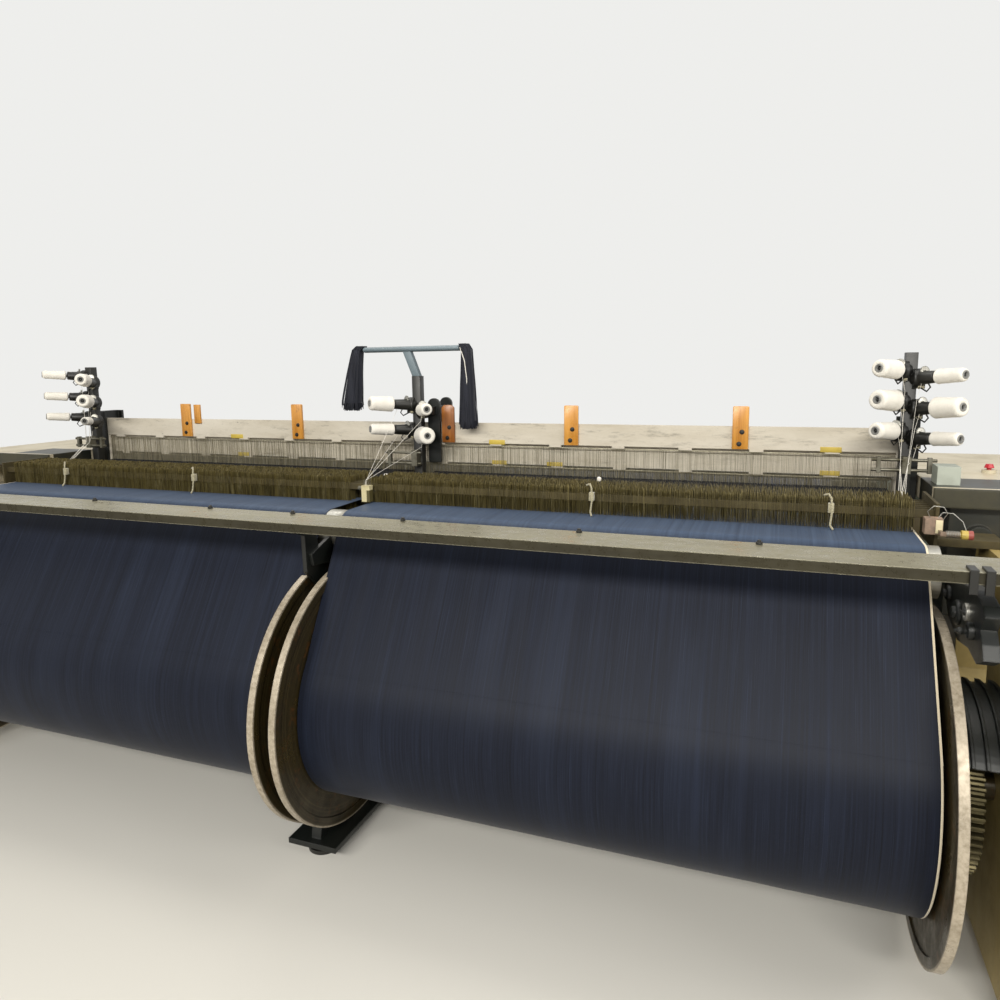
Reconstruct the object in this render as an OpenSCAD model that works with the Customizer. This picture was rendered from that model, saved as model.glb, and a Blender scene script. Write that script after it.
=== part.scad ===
// Double-width power loom with two warp beams side by side, seen from the warp side.
// Origin: on the floor under the warp beam axis, midway between the two beams.
// X runs along the machine, Y from the warp side to the cloth side, Z up. Millimetres.

/* [Warp beams] */
// Height of the warp beam axis above the floor
beam_axis_z = 560; // [520:5:600]
// Radius of the beam flanges
flange_r = 500; // [440:5:500]
// Thickness of a flange at its rim
flange_rim_t = 24; // [18:1:30]
// Thickness of the flange plate inside the rim
flange_web_t = 12; // [8:1:16]
// Radial width of the flange rim
flange_rim_w = 34; // [20:1:50]
// Free width between the flanges of one beam
beam_span = 1912; // [1700:1:1950]
// Gap between the two inner flanges
beam_gap = 61; // [58:1:80]
// Outer radius of the beam barrel
barrel_r = 110; // [90:1:130]
// Wall of the beam barrel
barrel_wall = 10; // [6:1:16]
// Radius of the beam journals
journal_r = 40; // [30:1:50]
// Radius of the yarn wound on the beams
yarn_r = 378; // [300:1:400]

/* [Let-off gears] */
// Gear module
gear_module = 8; // [6:1:8]
// Teeth of the beam gear
beam_teeth = 60; // [56:4:60]
// Teeth of the let-off pinion
pinion_teeth = 15; // [15:1:17]
// Face width of both gears
gear_w = 60; // [40:1:70]
// Direction from the beam axis to the pinion, degrees from the cloth side
pinion_dir = -36; // [-40:1:-30]
// Radius of the pinion shaft
pinion_shaft_r = 15; // [12:1:20]

/* [Back rest] */
// Radius of the whip roll
whip_r = 75; // [60:1:80]
// Wall of the whip roll
whip_wall = 6; // [4:1:10]
// Whip roll axis along Y
whip_y = 20; // [0:1:40]
// Whip roll axis height
whip_z = 1172; // [1160:1:1180]
// Radius of the whip roll journals
whip_journal_r = 25; // [20:1:30]
// Lever pivot along Y
lever_y = -150; // [-155:1:-145]
// Lever pivot height
lever_z = 1110; // [1105:1:1115]
// Radius of the lever pivot pins
lever_pin_r = 16; // [12:1:20]
// Thickness of the end levers
lever_t = 36; // [24:1:40]

/* [Rear rail] */
// Warp side face of the rail along Y
rail_y = -400; // [-410:1:-390]
// Depth of the rail along Y
rail_depth = 157; // [140:1:165]
// Height of the rail top
rail_top_z = 1284; // [1280:1:1300]
// Height of the rail lips
rail_lip = 30; // [20:1:40]
// Sheet thickness of the rail
rail_t = 4; // [3:1:6]
// Reach of the rail past the inner face of the side frames
rail_reach = 90; // [60:5:140]

/* [Warp sheet] */
// Thickness of the warp sheet
sheet_t = 2.4; // [1.5:0.1:3]
// Distance of the warp sheet's outer edge from the outer flange
sheet_inset = 21.5; // [20:0.5:40]
// Inner edge of the left warp sheet from the centre
sheet_in_left = 50; // [45:1:80]
// Inner edge of the right warp sheet from the centre
sheet_in_right = 35; // [34:1:80]

/* [Warp stop motion] */
// First row of drop wires along Y
drop_y = 200; // [195:1:210]
// Distance between the rows of drop wires
drop_pitch = 35; // [30:1:38]
// Rows of drop wires
drop_rows = 6; // [4:1:6]
// Height of the drop wires above the warp sheet
drop_up = 97; // [80:1:110]
// Length of the drop wires below the warp sheet
drop_down = 68; // [40:1:80]
// Thickness of a row of drop wires
drop_t = 5; // [3:1:6]
// Teeth in one row of drop wires
drop_teeth = 48; // [20:1:60]
// Height of a contact bar
contact_h = 25; // [15:1:30]
// Thickness of a contact bar
contact_t = 6; // [4:1:8]

/* [Heald frames] */
// Plane of the first heald frame along Y
heald_y = 780; // [775:1:785]
// Distance between heald frames
heald_pitch = 30; // [26:1:34]
// Thickness of a heald frame
heald_t = 12; // [8:1:14]
// Height of a stave
stave_h = 92; // [60:1:100]
// Reach of the heald frames past the warp sheet
heald_reach = 40; // [38:1:42]
// Lift of a heald frame between its two positions
shed_lift = 94; // [80:1:100]
// Distance from a stave to the heddle eyes
eye_to_stave = 136; // [120:1:150]
// Height of the heddle eyes at the closed shed
eye_mid_z = 1247; // [1240:1:1255]
// Heddle strips in one frame
heddle_count = 96; // [40:2:110]
// Radius of the lift rods
lift_rod_r = 7; // [5:1:9]
// Distance of the lift rods from the centre
lift_rod_x = 1300; // [1000:10:1500]
// Height of the wooden blocks above the raised stave
block_up = 80; // [40:1:100]
// Width of the wooden blocks
block_w = 64; // [50:1:80]

/* [Sley and reed] */
// Rocking shaft axis along Y
rock_y = 1040; // [1035:1:1045]
// Rocking shaft axis height
rock_z = 1000; // [990:1:1005]
// Rocking shaft radius
rock_r = 45; // [35:1:48]
// Angle of the sley behind its beat-up position
sley_back = 17; // [14:1:18]
// Height of the reed
reed_h = 140; // [120:1:145]
// Thickness of the reed
reed_t = 5; // [4:1:7]
// Dents shown in one half of the reed
reed_gaps = 58; // [20:1:60]
// Reach of the reed past the warp sheet
reed_reach = 15; // [10:1:30]

/* [Cloth side] */
// Breast beam nose along Y
breast_y = 1330; // [1320:1:1345]
// Radius of the breast beam nose
breast_r = 40; // [30:1:45]
// Take-up roll radius
takeup_r = 95; // [80:1:100]
// Take-up roll height
takeup_z = 930; // [920:1:950]
// Press roll radius
press_r = 45; // [35:1:50]
// Cloth roll radius
cloth_r = 190; // [120:1:200]
// Cloth roll axis along Y
cloth_roll_y = 1400; // [1390:1:1420]
// Cloth roll axis height
cloth_roll_z = 400; // [380:1:420]
// Cloth thickness
cloth_t = 1.6; // [1:0.1:2]
// Radius of the roll journals
roll_journal_r = 22; // [16:1:28]

/* [Frame] */
// Space between a beam gear and its side frame
frame_gap = 69.5; // [60:0.5:90]
// Thickness of the side frames
frame_t = 150; // [120:1:160]
// Height of the levelling feet
foot_h = 60; // [40:1:70]
// Top of the side frames on the warp side
frame_top_z = 1200; // [1180:1:1210]
// Seat of the heads on the side frames
head_seat_z = 900; // [880:1:905]
// Top of the heads
head_top_z = 1350; // [1320:1:1360]
// Warp side face of the heads along Y
head_y0 = 450; // [430:1:480]
// Cloth side face of the heads along Y
head_y1 = 1650; // [1600:1:1700]
// Reach of the heads inside the side frames
head_lap = 120; // [105:1:121]
// Reach of the heads outside the inner face of the side frames
head_reach = 550; // [460:5:600]
// Wall of the head cases
head_wall = 12; // [6:1:20]

/* [Creels] */
// Distance of the side creel posts from the ends of the heald frames
post_inset = 12; // [9:1:15]
// Creel posts along Y
post_y = 710; // [700:1:715]
// Width of the creel posts
post_w = 40; // [30:1:44]
// Height of the side creel posts above the head covers
side_post_h = 450; // [440:1:500]
// Height of the centre creel post above the head covers
centre_post_h = 385; // [370:1:410]
// Length of a yarn cone with its core
cone_l = 120; // [110:1:130]
// Radius of the foot of a full cone
cone_r0 = 41; // [30:1:45]
// Radius of the nose of a full cone
cone_r1 = 37; // [28:1:38]
// Angle of the cone axes from the warp side
cone_dir = 38; // [34:1:45]
// Rise of the cone axes towards the nose
cone_rise = 4; // [0:1:6]
// Radius of the cone pins
pin_r = 8; // [5:1:10]
// Length of the yarn hanger
hanger_l = 481; // [460:1:500]
// Height of the yarn hanger above the centre creel post
hanger_h = 128; // [110:1:145]
// Thickness of the yarn hanger
hanger_w = 46; // [30:1:50]

/* [Drive] */
// Flywheel radius
fly_r = 240; // [200:1:250]
// Flywheel axis along Y
fly_y = 1050; // [1040:1:1060]
// Flywheel axis height
fly_z = 1060; // [1050:1:1070]
// Motor pulley radius
pulley_r = 66; // [60:1:80]
// Motor axis along Y
motor_y = 1250; // [1200:1:1260]
// Motor axis height
motor_z = 330; // [320:1:340]
// Motor radius
motor_r = 120; // [100:1:140]
// Belt width
belt_w = 50; // [40:1:54]
// Belt thickness
belt_t = 8; // [5:1:10]

/* [Hidden] */

$fn = 64;
// Running clearance of a shaft in its bore
run = 0.05;
// Clearance between pieces that must not touch
clr = 0.3;

// Stations of one warp beam along X, measured from the centre
beam_in = beam_gap / 2;
span_in = beam_in + flange_rim_t;
span_out = span_in + beam_span;
beam_out = span_out + flange_rim_t;
journal_in = beam_in - 28;
gear_gap = 30;
gear_x = beam_out + gear_gap;
frame_x = gear_x + gear_w + frame_gap;
journal_out = frame_x + 90;
rail_half = frame_x + rail_reach;
sheet_out_x = span_out - sheet_inset;
heald_half = sheet_out_x + heald_reach;
reed_half = sheet_out_x + reed_reach;
head_x0 = frame_x - head_lap;
head_x1 = frame_x + head_reach;
post_x = heald_half - post_inset;

// Gear sizes
beam_pitch_r = gear_module * beam_teeth / 2;
pinion_pitch_r = gear_module * pinion_teeth / 2;
pinion_y = (beam_pitch_r + pinion_pitch_r) * cos(pinion_dir);
pinion_z = beam_axis_z + (beam_pitch_r + pinion_pitch_r) * sin(pinion_dir);
pressure_angle = 20;
addendum = 0.8 * gear_module;
dedendum = 1.1 * gear_module;
tooth_thinning = 0.35;

// Warp line
warp_z = whip_z + whip_r + clr;
warp_top_z = warp_z + sheet_t;
sheet_end_y = drop_y + drop_pitch * (drop_rows - 1) + 45;

// Rear rail
rail_under_z = rail_top_z - rail_t;
arm_y0 = rail_y + rail_t + 16;
arm_y1 = rail_y + rail_depth - rail_t - 16;

// Heald frames: the first is raised, the others are lowered
heald_up = [1, -1, -1, -1];
function heald_plane(k) = heald_y + k * heald_pitch;
function eye_z(k) = eye_mid_z + heald_up[k] * shed_lift / 2;
function stave_z(k) = eye_z(k) + eye_to_stave;
heald_y0 = heald_y - heald_t / 2;
heald_y1 = heald_plane(3) + heald_t / 2;
rod_h = 12;
rod_drop = 22;
stay_w = 30;
heddle_t = 4;
clip_pitch = 277.5;
clip_w = 54;
clip_first = 70;
heald_clips = [for (i = [-9:9]) let (x = clip_first + i * clip_pitch)
    if (abs(x) < heald_half - stay_w - 1.5 * clip_w) x];
block_x = [-1395, -700, 120, 700, 1395];

// Girders
girder_y0 = 680;
girder_y1 = 940;
girder_top_z = 620;
girder_h = 170;
guide_top_z = girder_top_z + 140;
lift_rod_l = eye_mid_z - shed_lift / 2 - eye_to_stave - stave_h - girder_top_z - 8;
sley_girder_w = 120;
sley_girder_z0 = 760;
sley_girder_z1 = 900;
girder_wall = 12;
tie_y = 600;
tie_z = 210;
tie_w = 100;
tie_wall = 8;

// Sley, drawn in its beat-up position and tipped back by sley_back
sley_beam_z0 = rock_z + 110;
sley_beam_z1 = rock_z + 190;
fell_y = rock_y + reed_t / 2 + 5;
lever_count = 9;
lever_pitch = 2 * (reed_half - 40) / (lever_count - 1);
pedestal_offset = 60;
pedestal_t = 40;

// Cloth side rolls
breast_z = warp_z - clr - breast_r;
takeup_y = breast_y;
press_dir = 170;
press_gap = takeup_r + press_r + cloth_t + 2 * clr;
press_y = takeup_y + press_gap * cos(press_dir);
press_z = takeup_z + press_gap * sin(press_dir);
roll_half = frame_x - 110;
cloth_out_x = sheet_out_x - 15;
cloth_in_x = 40;

// Head and drive
fly_x = -(head_x1 + 44);
fly_w = 70;
shaft_r = 30;

// Draw a YZ outline and push it along X from x0 to x1
module along_x(x0, x1) {
    translate([x0, 0, 0]) rotate([90, 0, 90]) linear_extrude(x1 - x0) children();
}

// Draw an XZ outline and push it along Y from y0 to y1
module along_y(y0, y1) {
    translate([0, y1, 0]) rotate([90, 0, 0]) linear_extrude(y1 - y0) children();
}

// Box between two corners
module box(a, b) {
    translate(a) cube([b[0] - a[0], b[1] - a[1], b[2] - a[2]]);
}

// Round bar along X between two stations
module bar_x(r, x0, x1, y, z, n = 64) {
    translate([x0, y, z]) rotate([0, 90, 0]) cylinder(r = r, h = x1 - x0, $fn = n);
}

// Tube along X
module tube_x(r, wall, x0, x1, y, z) {
    difference() {
        bar_x(r, x0, x1, y, z);
        bar_x(r - wall, x0 - 1, x1 + 1, y, z);
    }
}

// Turned shape about the X axis from points given as station and radius
module turned_x(points, y, z, n = 96) {
    translate([0, y, z]) rotate([90, 0, 90]) rotate_extrude($fn = n)
        polygon([for (p = points) [p[1], p[0]]]);
}

// The same piece on the other side of the machine
module mirror_x() {
    mirror([1, 0, 0]) children();
}

// Rectangle with cut corners
module cut_rect(y0, z0, y1, z1, c) {
    polygon([
        [y0 + c, z0], [y1 - c, z0], [y1, z0 + c], [y1, z1 - c],
        [y1 - c, z1], [y0 + c, z1], [y0, z1 - c], [y0, z0 + c]
    ]);
}

// Points on an arc
function arc(c, r, a0, a1, n) =
    [for (i = [0:n]) [c[0] + r * cos(a0 + (a1 - a0) * i / n), c[1] + r * sin(a0 + (a1 - a0) * i / n)]];

// Angle of the left-hand normal of the line that touches two circles given as [y, z, r, side],
// where side is 1 when the line passes with the circle on its left and -1 on its right
function touch_angle(a, b) =
    let (d = [b[0] - a[0], b[1] - a[1]])
    atan2(d[1], d[0]) + acos(max(-1, min(1, (b[3] * b[2] - a[3] * a[2]) / norm(d))));

// Where that line touches a circle
function touch_at(c, angle) = c[3] > 0 ? angle + 180 : angle;

// Turn round a circle in its own sense
function turn_of(c, a_in, a_out) =
    c[3] > 0 ? (a_out - a_in + 720) % 360 : -((a_in - a_out + 720) % 360);

// One edge of a web that runs over circles; off is added to each radius on the left
function web_edge(path, off) =
    [for (i = [0:len(path) - 1])
        let (
            c = path[i],
            last = len(path) - 1,
            a_in = i == 0 ? touch_at(c, touch_angle(c, path[1]))
                : touch_at(c, touch_angle(path[i - 1], c)),
            a_out = i == last ? a_in : touch_at(c, touch_angle(c, path[min(i + 1, last)])),
            turn = i == 0 || i == last ? 0 : turn_of(c, a_in, a_out),
            steps = max(1, ceil(abs(turn) / 8))
        )
        for (p = arc([c[0], c[1]], c[2] - c[3] * off, a_in, a_in + turn, steps)) p];

// Cut repeated points out of a list
function no_twins(v) =
    [for (i = [0:len(v) - 1]) if (i == 0 || norm(v[i] - v[max(i - 1, 0)]) > 0.001) v[i]];

function reversed(v) = [for (i = [len(v) - 1:-1:0]) v[i]];

// Section of a web of thickness t
module web_section(path, t) {
    polygon(concat(no_twins(web_edge(path, t / 2)), reversed(no_twins(web_edge(path, -t / 2)))));
}

// Involute tooth outline of a spur gear
function involute(rb, r) = let (a = acos(min(1, rb / r))) tan(a) * 180 / PI - a;
function tooth_half_angle(teeth, r) =
    let (
        rp = gear_module * teeth / 2,
        rb = rp * cos(pressure_angle),
        at_pitch = 90 / teeth - tooth_thinning / rp * 180 / PI
    )
    at_pitch + involute(rb, rp) - involute(rb, max(r, rb));
function gear_outline(teeth) =
    let (
        rp = gear_module * teeth / 2,
        rb = rp * cos(pressure_angle),
        ra = rp + addendum,
        rf = rp - dedendum,
        r0 = max(rb, rf),
        levels = [rf, r0 + (ra - r0) * 0.02, r0 + (ra - r0) * 0.35, r0 + (ra - r0) * 0.7, ra]
    )
    [for (k = [0:teeth - 1]) for (s = [-1, 1])
        for (j = [0:4])
            let (
                r = levels[s < 0 ? j : 4 - j],
                a = 360 * k / teeth + s * tooth_half_angle(teeth, r)
            )
            [r * cos(a), r * sin(a)]];

// Side frame: one casting with bearing bores, windows and an arm under the rail
module side_frame() {
    color("#a08a52") along_x(frame_x, frame_x + frame_t) difference() {
        polygon([
            [-250, foot_h], [-330, 430], [-330, 1010], [arm_y0, 1120], [arm_y0, rail_under_z],
            [arm_y1, rail_under_z], [arm_y1 + 30, frame_top_z], [380, frame_top_z],
            [430, head_seat_z], [rock_y - 80, head_seat_z], [rock_y - 80, rock_z + 60],
            [breast_y - 90, rock_z + 60], [breast_y - 60, breast_z - 90],
            [breast_y + breast_r, breast_z - 90], [breast_y + 70, rock_z + 60],
            [breast_y + 70, head_seat_z], [head_y1 - 10, head_seat_z], [1600, 700], [1560, foot_h]
        ]);
        cut_rect(150, 640, 560, 1090, 60);
        cut_rect(150, 160, 560, 330, 50);
        cut_rect(760, 160, 1150, 400, 50);
        cut_rect(980, 480, 1200, 700, 40);
        circle_at(0, beam_axis_z, journal_r + run);
        circle_at(pinion_y, pinion_z, pinion_shaft_r + run);
        circle_at(lever_y, lever_z, lever_pin_r + run);
        circle_at(rock_y, rock_z, rock_r + run);
        circle_at(takeup_y, takeup_z, roll_journal_r + run);
        circle_at(press_y, press_z, roll_journal_r + run);
        circle_at(cloth_roll_y, cloth_roll_z, roll_journal_r + run);
    }
}

module circle_at(y, z, r) {
    translate([y, z]) circle(r = r);
}

module left_side_frame() {
    mirror_x() side_frame();
}

module right_side_frame() {
    side_frame();
}

// Centre stand between the beams, with the inner bearings and an arm to the rail
stand_t = 40;
stand_top_t = 16;
stand_seat_w = 40;
module centre_stand() {
    color("#1c211b") union() {
        along_x(-stand_t / 2, stand_t / 2) difference() {
            polygon([
                [-230, foot_h], [-170, 400], [-170, 800], [-110, 1000], [40, 1000],
                [170, 800], [170, 400], [230, foot_h]
            ]);
            circle_at(0, beam_axis_z, journal_r + run);
            cut_rect(-110, 150, 110, 400, 40);
        }
        along_x(-stand_t / 2, stand_top_t - stand_t / 2) difference() {
            polygon([
                [-110, 980], [lever_y - 42, lever_z - 50], [lever_y - 46, rail_under_z - 86],
                [arm_y1 - stand_seat_w, rail_under_z - 50], [arm_y1 - stand_seat_w, rail_under_z],
                [arm_y1, rail_under_z], [arm_y1, rail_top_z - rail_lip - 24], [lever_y + 20, lever_z + 84],
                [lever_y + 40, lever_z], [-40, 980]
            ]);
            circle_at(lever_y, lever_z, lever_pin_r + run);
        }
        box([-100, -260, foot_h - 20], [100, 260, foot_h]);
    }
}

// Girders between the side frames, rocking shaft pedestals and lift rod guides
module cross_girders() {
    color("#9fb0ac") union() {
        difference() {
            box([-frame_x, girder_y0, girder_top_z - girder_h], [frame_x, girder_y1, girder_top_z]);
            box(
                [-frame_x - 1, girder_y0 + girder_wall, girder_top_z - girder_h + girder_wall],
                [frame_x + 1, girder_y1 - girder_wall, girder_top_z - girder_wall]
            );
            lift_bores(girder_top_z - 20);
        }
        lift_guides();
    }
    color("#9fb0ac") union() {
        difference() {
            box(
                [-frame_x, rock_y - sley_girder_w / 2, sley_girder_z0],
                [frame_x, rock_y + sley_girder_w / 2, sley_girder_z1]
            );
            box(
                [-frame_x - 1, rock_y - sley_girder_w / 2 + 10, sley_girder_z0 + 10],
                [frame_x + 1, rock_y + sley_girder_w / 2 - 10, sley_girder_z1 - 10]
            );
        }
        for (k = [0:lever_count - 1]) pedestal(lever_station(k) + pedestal_offset);
    }
    color("#9fb0ac") difference() {
        box([-frame_x, tie_y, tie_z], [frame_x, tie_y + tie_w, tie_z + tie_w]);
        box(
            [-frame_x - 1, tie_y + tie_wall, tie_z + tie_wall],
            [frame_x + 1, tie_y + tie_w - tie_wall, tie_z + tie_w - tie_wall]
        );
    }
}

function lever_station(k) = (k - (lever_count - 1) / 2) * lever_pitch;

module pedestal(x) {
    along_x(x, x + pedestal_t) difference() {
        polygon([
            [rock_y - 58, sley_girder_z1 - 5], [rock_y + 58, sley_girder_z1 - 5],
            [rock_y + 62, rock_z], [rock_y + 40, rock_z + 62], [rock_y - 40, rock_z + 62],
            [rock_y - 62, rock_z]
        ]);
        circle_at(rock_y, rock_z, rock_r + run);
    }
}

module lift_guides() {
    for (s = [-1, 1]) difference() {
        box(
            [s * lift_rod_x - 30, heald_y - 30, girder_top_z - 2],
            [s * lift_rod_x + 30, heald_plane(3) + 30, guide_top_z]
        );
        lift_bores(girder_top_z - 20);
    }
}

module lift_bores(z) {
    for (s = [-1, 1]) for (k = [0:3])
        translate([s * lift_rod_x, heald_plane(k), z])
            cylinder(r = lift_rod_r + run, h = guide_top_z - z + 1);
}

// Rear rail: one folded channel, web up
module rear_rail() {
    color("#a09878") along_x(-rail_half, rail_half) polygon([
        [rail_y, rail_top_z], [rail_y, rail_top_z - rail_lip],
        [rail_y + rail_t, rail_top_z - rail_lip], [rail_y + rail_t, rail_under_z],
        [rail_y + rail_depth - rail_t, rail_under_z],
        [rail_y + rail_depth - rail_t, rail_top_z - rail_lip],
        [rail_y + rail_depth, rail_top_z - rail_lip], [rail_y + rail_depth, rail_top_z]
    ]);
}

// Screws along the rail edge and the two clamps at its right end
clip_x = [-1450, -900, -350, 0, 420, 1000, 1500];
clamp_x = [frame_x - 186, frame_x - 153];
module rail_clips() {
    color("#1a1a18") {
        for (x = clip_x) translate([x, rail_y + rail_depth - 18, rail_top_z]) {
            cylinder(r = 9, h = 7, $fn = 6);
            cylinder(r = 5, h = 12, $fn = 24);
        }
        for (x = clamp_x) {
            box([x, rail_y - 10, rail_top_z - rail_lip - 22], [x + 18, rail_y, rail_top_z + 6]);
            box([x, rail_y - 10, rail_top_z], [x + 18, rail_y + 40, rail_top_z + 6]);
        }
    }
}

// Levelling feet: a pad, a nut and a stub under each carrier
side_feet_y = [-190, 640, 1480];
stand_feet_y = [-180, 0, 180];
module levelling_feet() {
    color("#2b2b2b") {
        for (s = [-1, 1]) for (y = side_feet_y)
            translate([s * (frame_x + frame_t / 2), y, 0]) foot(foot_h);
        for (y = stand_feet_y) translate([0, y, 0]) foot(foot_h - 20);
    }
}

module foot(h) {
    cylinder(r = 58, h = 14);
    translate([0, 0, 14]) cylinder(r = 32, h = h - 14, $fn = 6);
}

// Breast beam: a box section with a round nose
module breast_beam() {
    color("#9fb0ac") along_x(-frame_x - 60, frame_x + 60) difference() {
        union() {
            translate([breast_y - 60, breast_z - 90]) square([60, 90 + breast_r]);
            circle_at(breast_y, breast_z, breast_r);
            translate([breast_y - 60, breast_z - 90]) square([60 + breast_r, 90]);
        }
        translate([breast_y - 50, breast_z - 80]) square([78, 76]);
    }
}

// Contact bars of the warp stop motion with their end plates and arms
plate_y0 = drop_y - 22;
plate_y1 = sheet_end_y;
contact_z = warp_top_z + 46;
module warp_stop_bars() {
    color("#7d7a6c") {
        for (k = [0:drop_rows - 1])
            box(
                [-beam_out, drop_y + k * drop_pitch - contact_t / 2, contact_z],
                [beam_out, drop_y + k * drop_pitch + contact_t / 2, contact_z + contact_h]
            );
        for (s = [-1, 1]) mirror([s > 0 ? 0 : 1, 0, 0]) union() {
            box([beam_out, plate_y0, frame_top_z], [beam_out + 10, plate_y1, warp_top_z + drop_up - 4]);
            box([beam_out + 8, plate_y0 + 60, frame_top_z], [frame_x + 40, plate_y1 - 60, frame_top_z + 24]);
        }
    }
}

// Rows of drop wires as combs above and below the warp sheet
comb_tip = 14;
module drop_comb(span, z0, z1, teeth, up) {
    pitch = (span[1] - span[0]) / teeth;
    body = up ? z1 - comb_tip : z0 + comb_tip;
    tip = up ? z1 : z0;
    polygon(concat(
        [[span[0], up ? z0 : z1]],
        [[span[1], up ? z0 : z1]],
        [for (i = [teeth - 1:-1:0]) each [
            [span[0] + (i + 0.85) * pitch, body],
            [span[0] + (i + 0.7) * pitch, tip],
            [span[0] + (i + 0.3) * pitch, tip],
            [span[0] + (i + 0.15) * pitch, body]
        ]]
    ));
}

module drop_wires() {
    color("#5a5538") for (k = [0:drop_rows - 1]) {
        y = drop_y + k * drop_pitch;
        for (span = [[-sheet_out_x + 5, -sheet_in_left - 5], [sheet_in_right + 5, sheet_out_x - 5]]) {
            difference() {
                along_y(y - drop_t, y + drop_t)
                    drop_comb(span, warp_top_z + clr, warp_top_z + drop_up, drop_teeth, true);
                box(
                    [span[0] - 1, y - contact_t / 2 - clr, contact_z - clr],
                    [span[1] + 1, y + contact_t / 2 + clr, contact_z + contact_h + clr]
                );
            }
            along_y(y - drop_t / 2, y + drop_t / 2)
                drop_comb(span, warp_z - clr - drop_down, warp_z - clr, drop_teeth / 4, false);
        }
    }
}

// Side guides and centre guide plates that keep the heald frames upright
guide_x0 = heald_half + clr;
side_guide_z = 1560;
module heald_guides() {
    color("#4a463c") {
        for (s = [-1, 1]) mirror([s > 0 ? 0 : 1, 0, 0]) difference() {
            box([heald_half - 24, heald_y0 - 14, girder_top_z], [guide_x0 + 40, heald_y1 + 14, side_guide_z]);
            box(
                [heald_half - 25, heald_y0 - 1, girder_top_z - 1],
                [guide_x0, heald_y1 + 1, side_guide_z + 1]
            );
        }
        union() {
            for (y = [heald_y0 - 22, heald_y1 + 8]) centre_plate(y);
            box([40, heald_y0 - 10, side_guide_z], [68, heald_y1 + 9, side_guide_z + 36]);
            box([post_w / 2, post_y + 4, side_guide_z], [68, heald_y0 - 20, side_guide_z + 36]);
        }
    }
}

plate_w = 60;
plate_x = 55;
plate_top_z = 1633;
module centre_plate(y) {
    along_y(y, y + 14) union() {
        translate([plate_x, plate_top_z - plate_w / 2]) circle(r = plate_w / 2);
        translate([plate_x - plate_w / 2, 1340]) square([plate_w, plate_top_z - plate_w / 2 - 1340]);
    }
}

// Head: a case open at the bottom that sits on the side frame, sloped on the cloth side
head_slope = 90;
module head_profile(inset, drop) {
    polygon([
        [head_y0 + inset, head_seat_z - drop], [head_y1 - inset, head_seat_z - drop],
        [head_y1 - inset, head_top_z - head_slope - inset * 0.4],
        [head_y1 - head_slope - inset * 0.4, head_top_z - inset], [head_y0 + inset, head_top_z - inset]
    ]);
}

module head_shell() {
    difference() {
        along_x(head_x0, head_x1) head_profile(0, 0);
        along_x(head_x0 + head_wall, head_x1 - head_wall) head_profile(head_wall, 1);
        box([head_x0 - 1, head_y0 - 1, head_seat_z - 1], [head_x0 + head_wall + 1, head_y1 + 1, head_side_z]);
        box(
            [head_x0 - 1, head_y0 - 1, head_seat_z - 1],
            [head_x1 - 60, head_y0 + head_wall + 1, head_rear_z]
        );
    }
}
head_side_z = 1270;
head_rear_z = 1285;

// Cast housing inside a head, with round covers on its warp side; it stands on the side frame
unit_x0 = frame_x - 60;
unit_x1 = frame_x + frame_t + 10;
unit_y0 = head_y0 + 60;
unit_z = [980, 1080, 1180];
module head_unit() {
    color("#262b27") union() {
        box([unit_x0, unit_y0, head_seat_z], [unit_x1, unit_y0 + 190, head_top_z - head_wall - clr]);
        for (z = unit_z) translate([unit_x0 + 90, unit_y0 + 1, z]) rotate([90, 0, 0])
            cylinder(r = 40, h = 26);
    }
}

module left_head_case() {
    color("#cfc6a8") difference() {
        mirror_x() union() {
            head_shell();
            bar_x(60, head_x1 - head_wall - 30, head_x1, fly_y, fly_z);
        }
        bar_x(shaft_r + run, -head_x1 - 1, -head_x1 + head_wall + 31, fly_y, fly_z);
    }
    mirror_x() head_unit();
}

// Place of the red button on the right head
stop_x = head_x0 + 255;
stop_y = 900;
button_r = 17;
button_seat_r = 24;
button_travel = 6;
module right_head_case() {
    color("#cfc6a8") difference() {
        union() {
            head_shell();
            translate([stop_x, stop_y, head_top_z - 1]) cylinder(r = button_seat_r, h = 13);
        }
        translate([stop_x, stop_y, head_top_z - 40]) cylinder(r = 8 + run, h = 80);
    }
    head_unit();
}

// Creel post with its pin holders
// Each seat is its side, its depth below the post top, the reach of its holder and how full its cone is
side_post_z = head_top_z + side_post_h;
centre_post_z = head_top_z + centre_post_h;
hanger_z = centre_post_z + hanger_h;
left_seats = [
    [-1, 50, 100, 0.56], [-1, 162, 100, 0.56], [-1, 271, 100, 0.54],
    [1, 82, 170, 0.8], [1, 190, 170, 0.86], [1, 293, 170, 0.54]
];
centre_seats = [[-1, 130, 106, 0.83], [-1, 243, 106, 0.64], [1, 153, 20, 0.72], [1, 269, 20, 1]];
right_seats = [
    [-1, 65, 56, 0.83], [-1, 174, 56, 0.93], [-1, 283, 56, 0.8],
    [1, 92, 92, 0.64], [1, 200, 92, 0.91], [1, 308, 92, 0.62]
];
core_r = 15;
seat_gap = 6;

// Move a child to one cone seat: +Z of the child points along the cone axis
module cone_seat(x, top, seat) {
    translate([x + seat[0] * 14, post_y - 8, top - seat[1]])
        rotate([90 - cone_rise, 0, seat[0] * cone_dir]) children();
}

module creel_post(x, top, seats) {
    color("#1a1a18") union() {
        box(
            [x - post_w / 2, post_y - post_w / 2, girder_top_z],
            [x + post_w / 2, post_y + post_w / 2, top]
        );
        for (seat = seats) cone_seat(x, top, seat) {
            cylinder(r = 19, h = seat[2]);
            cylinder(r = pin_r, h = seat[2] + seat_gap + cone_l - 10);
        }
    }
}

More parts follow.
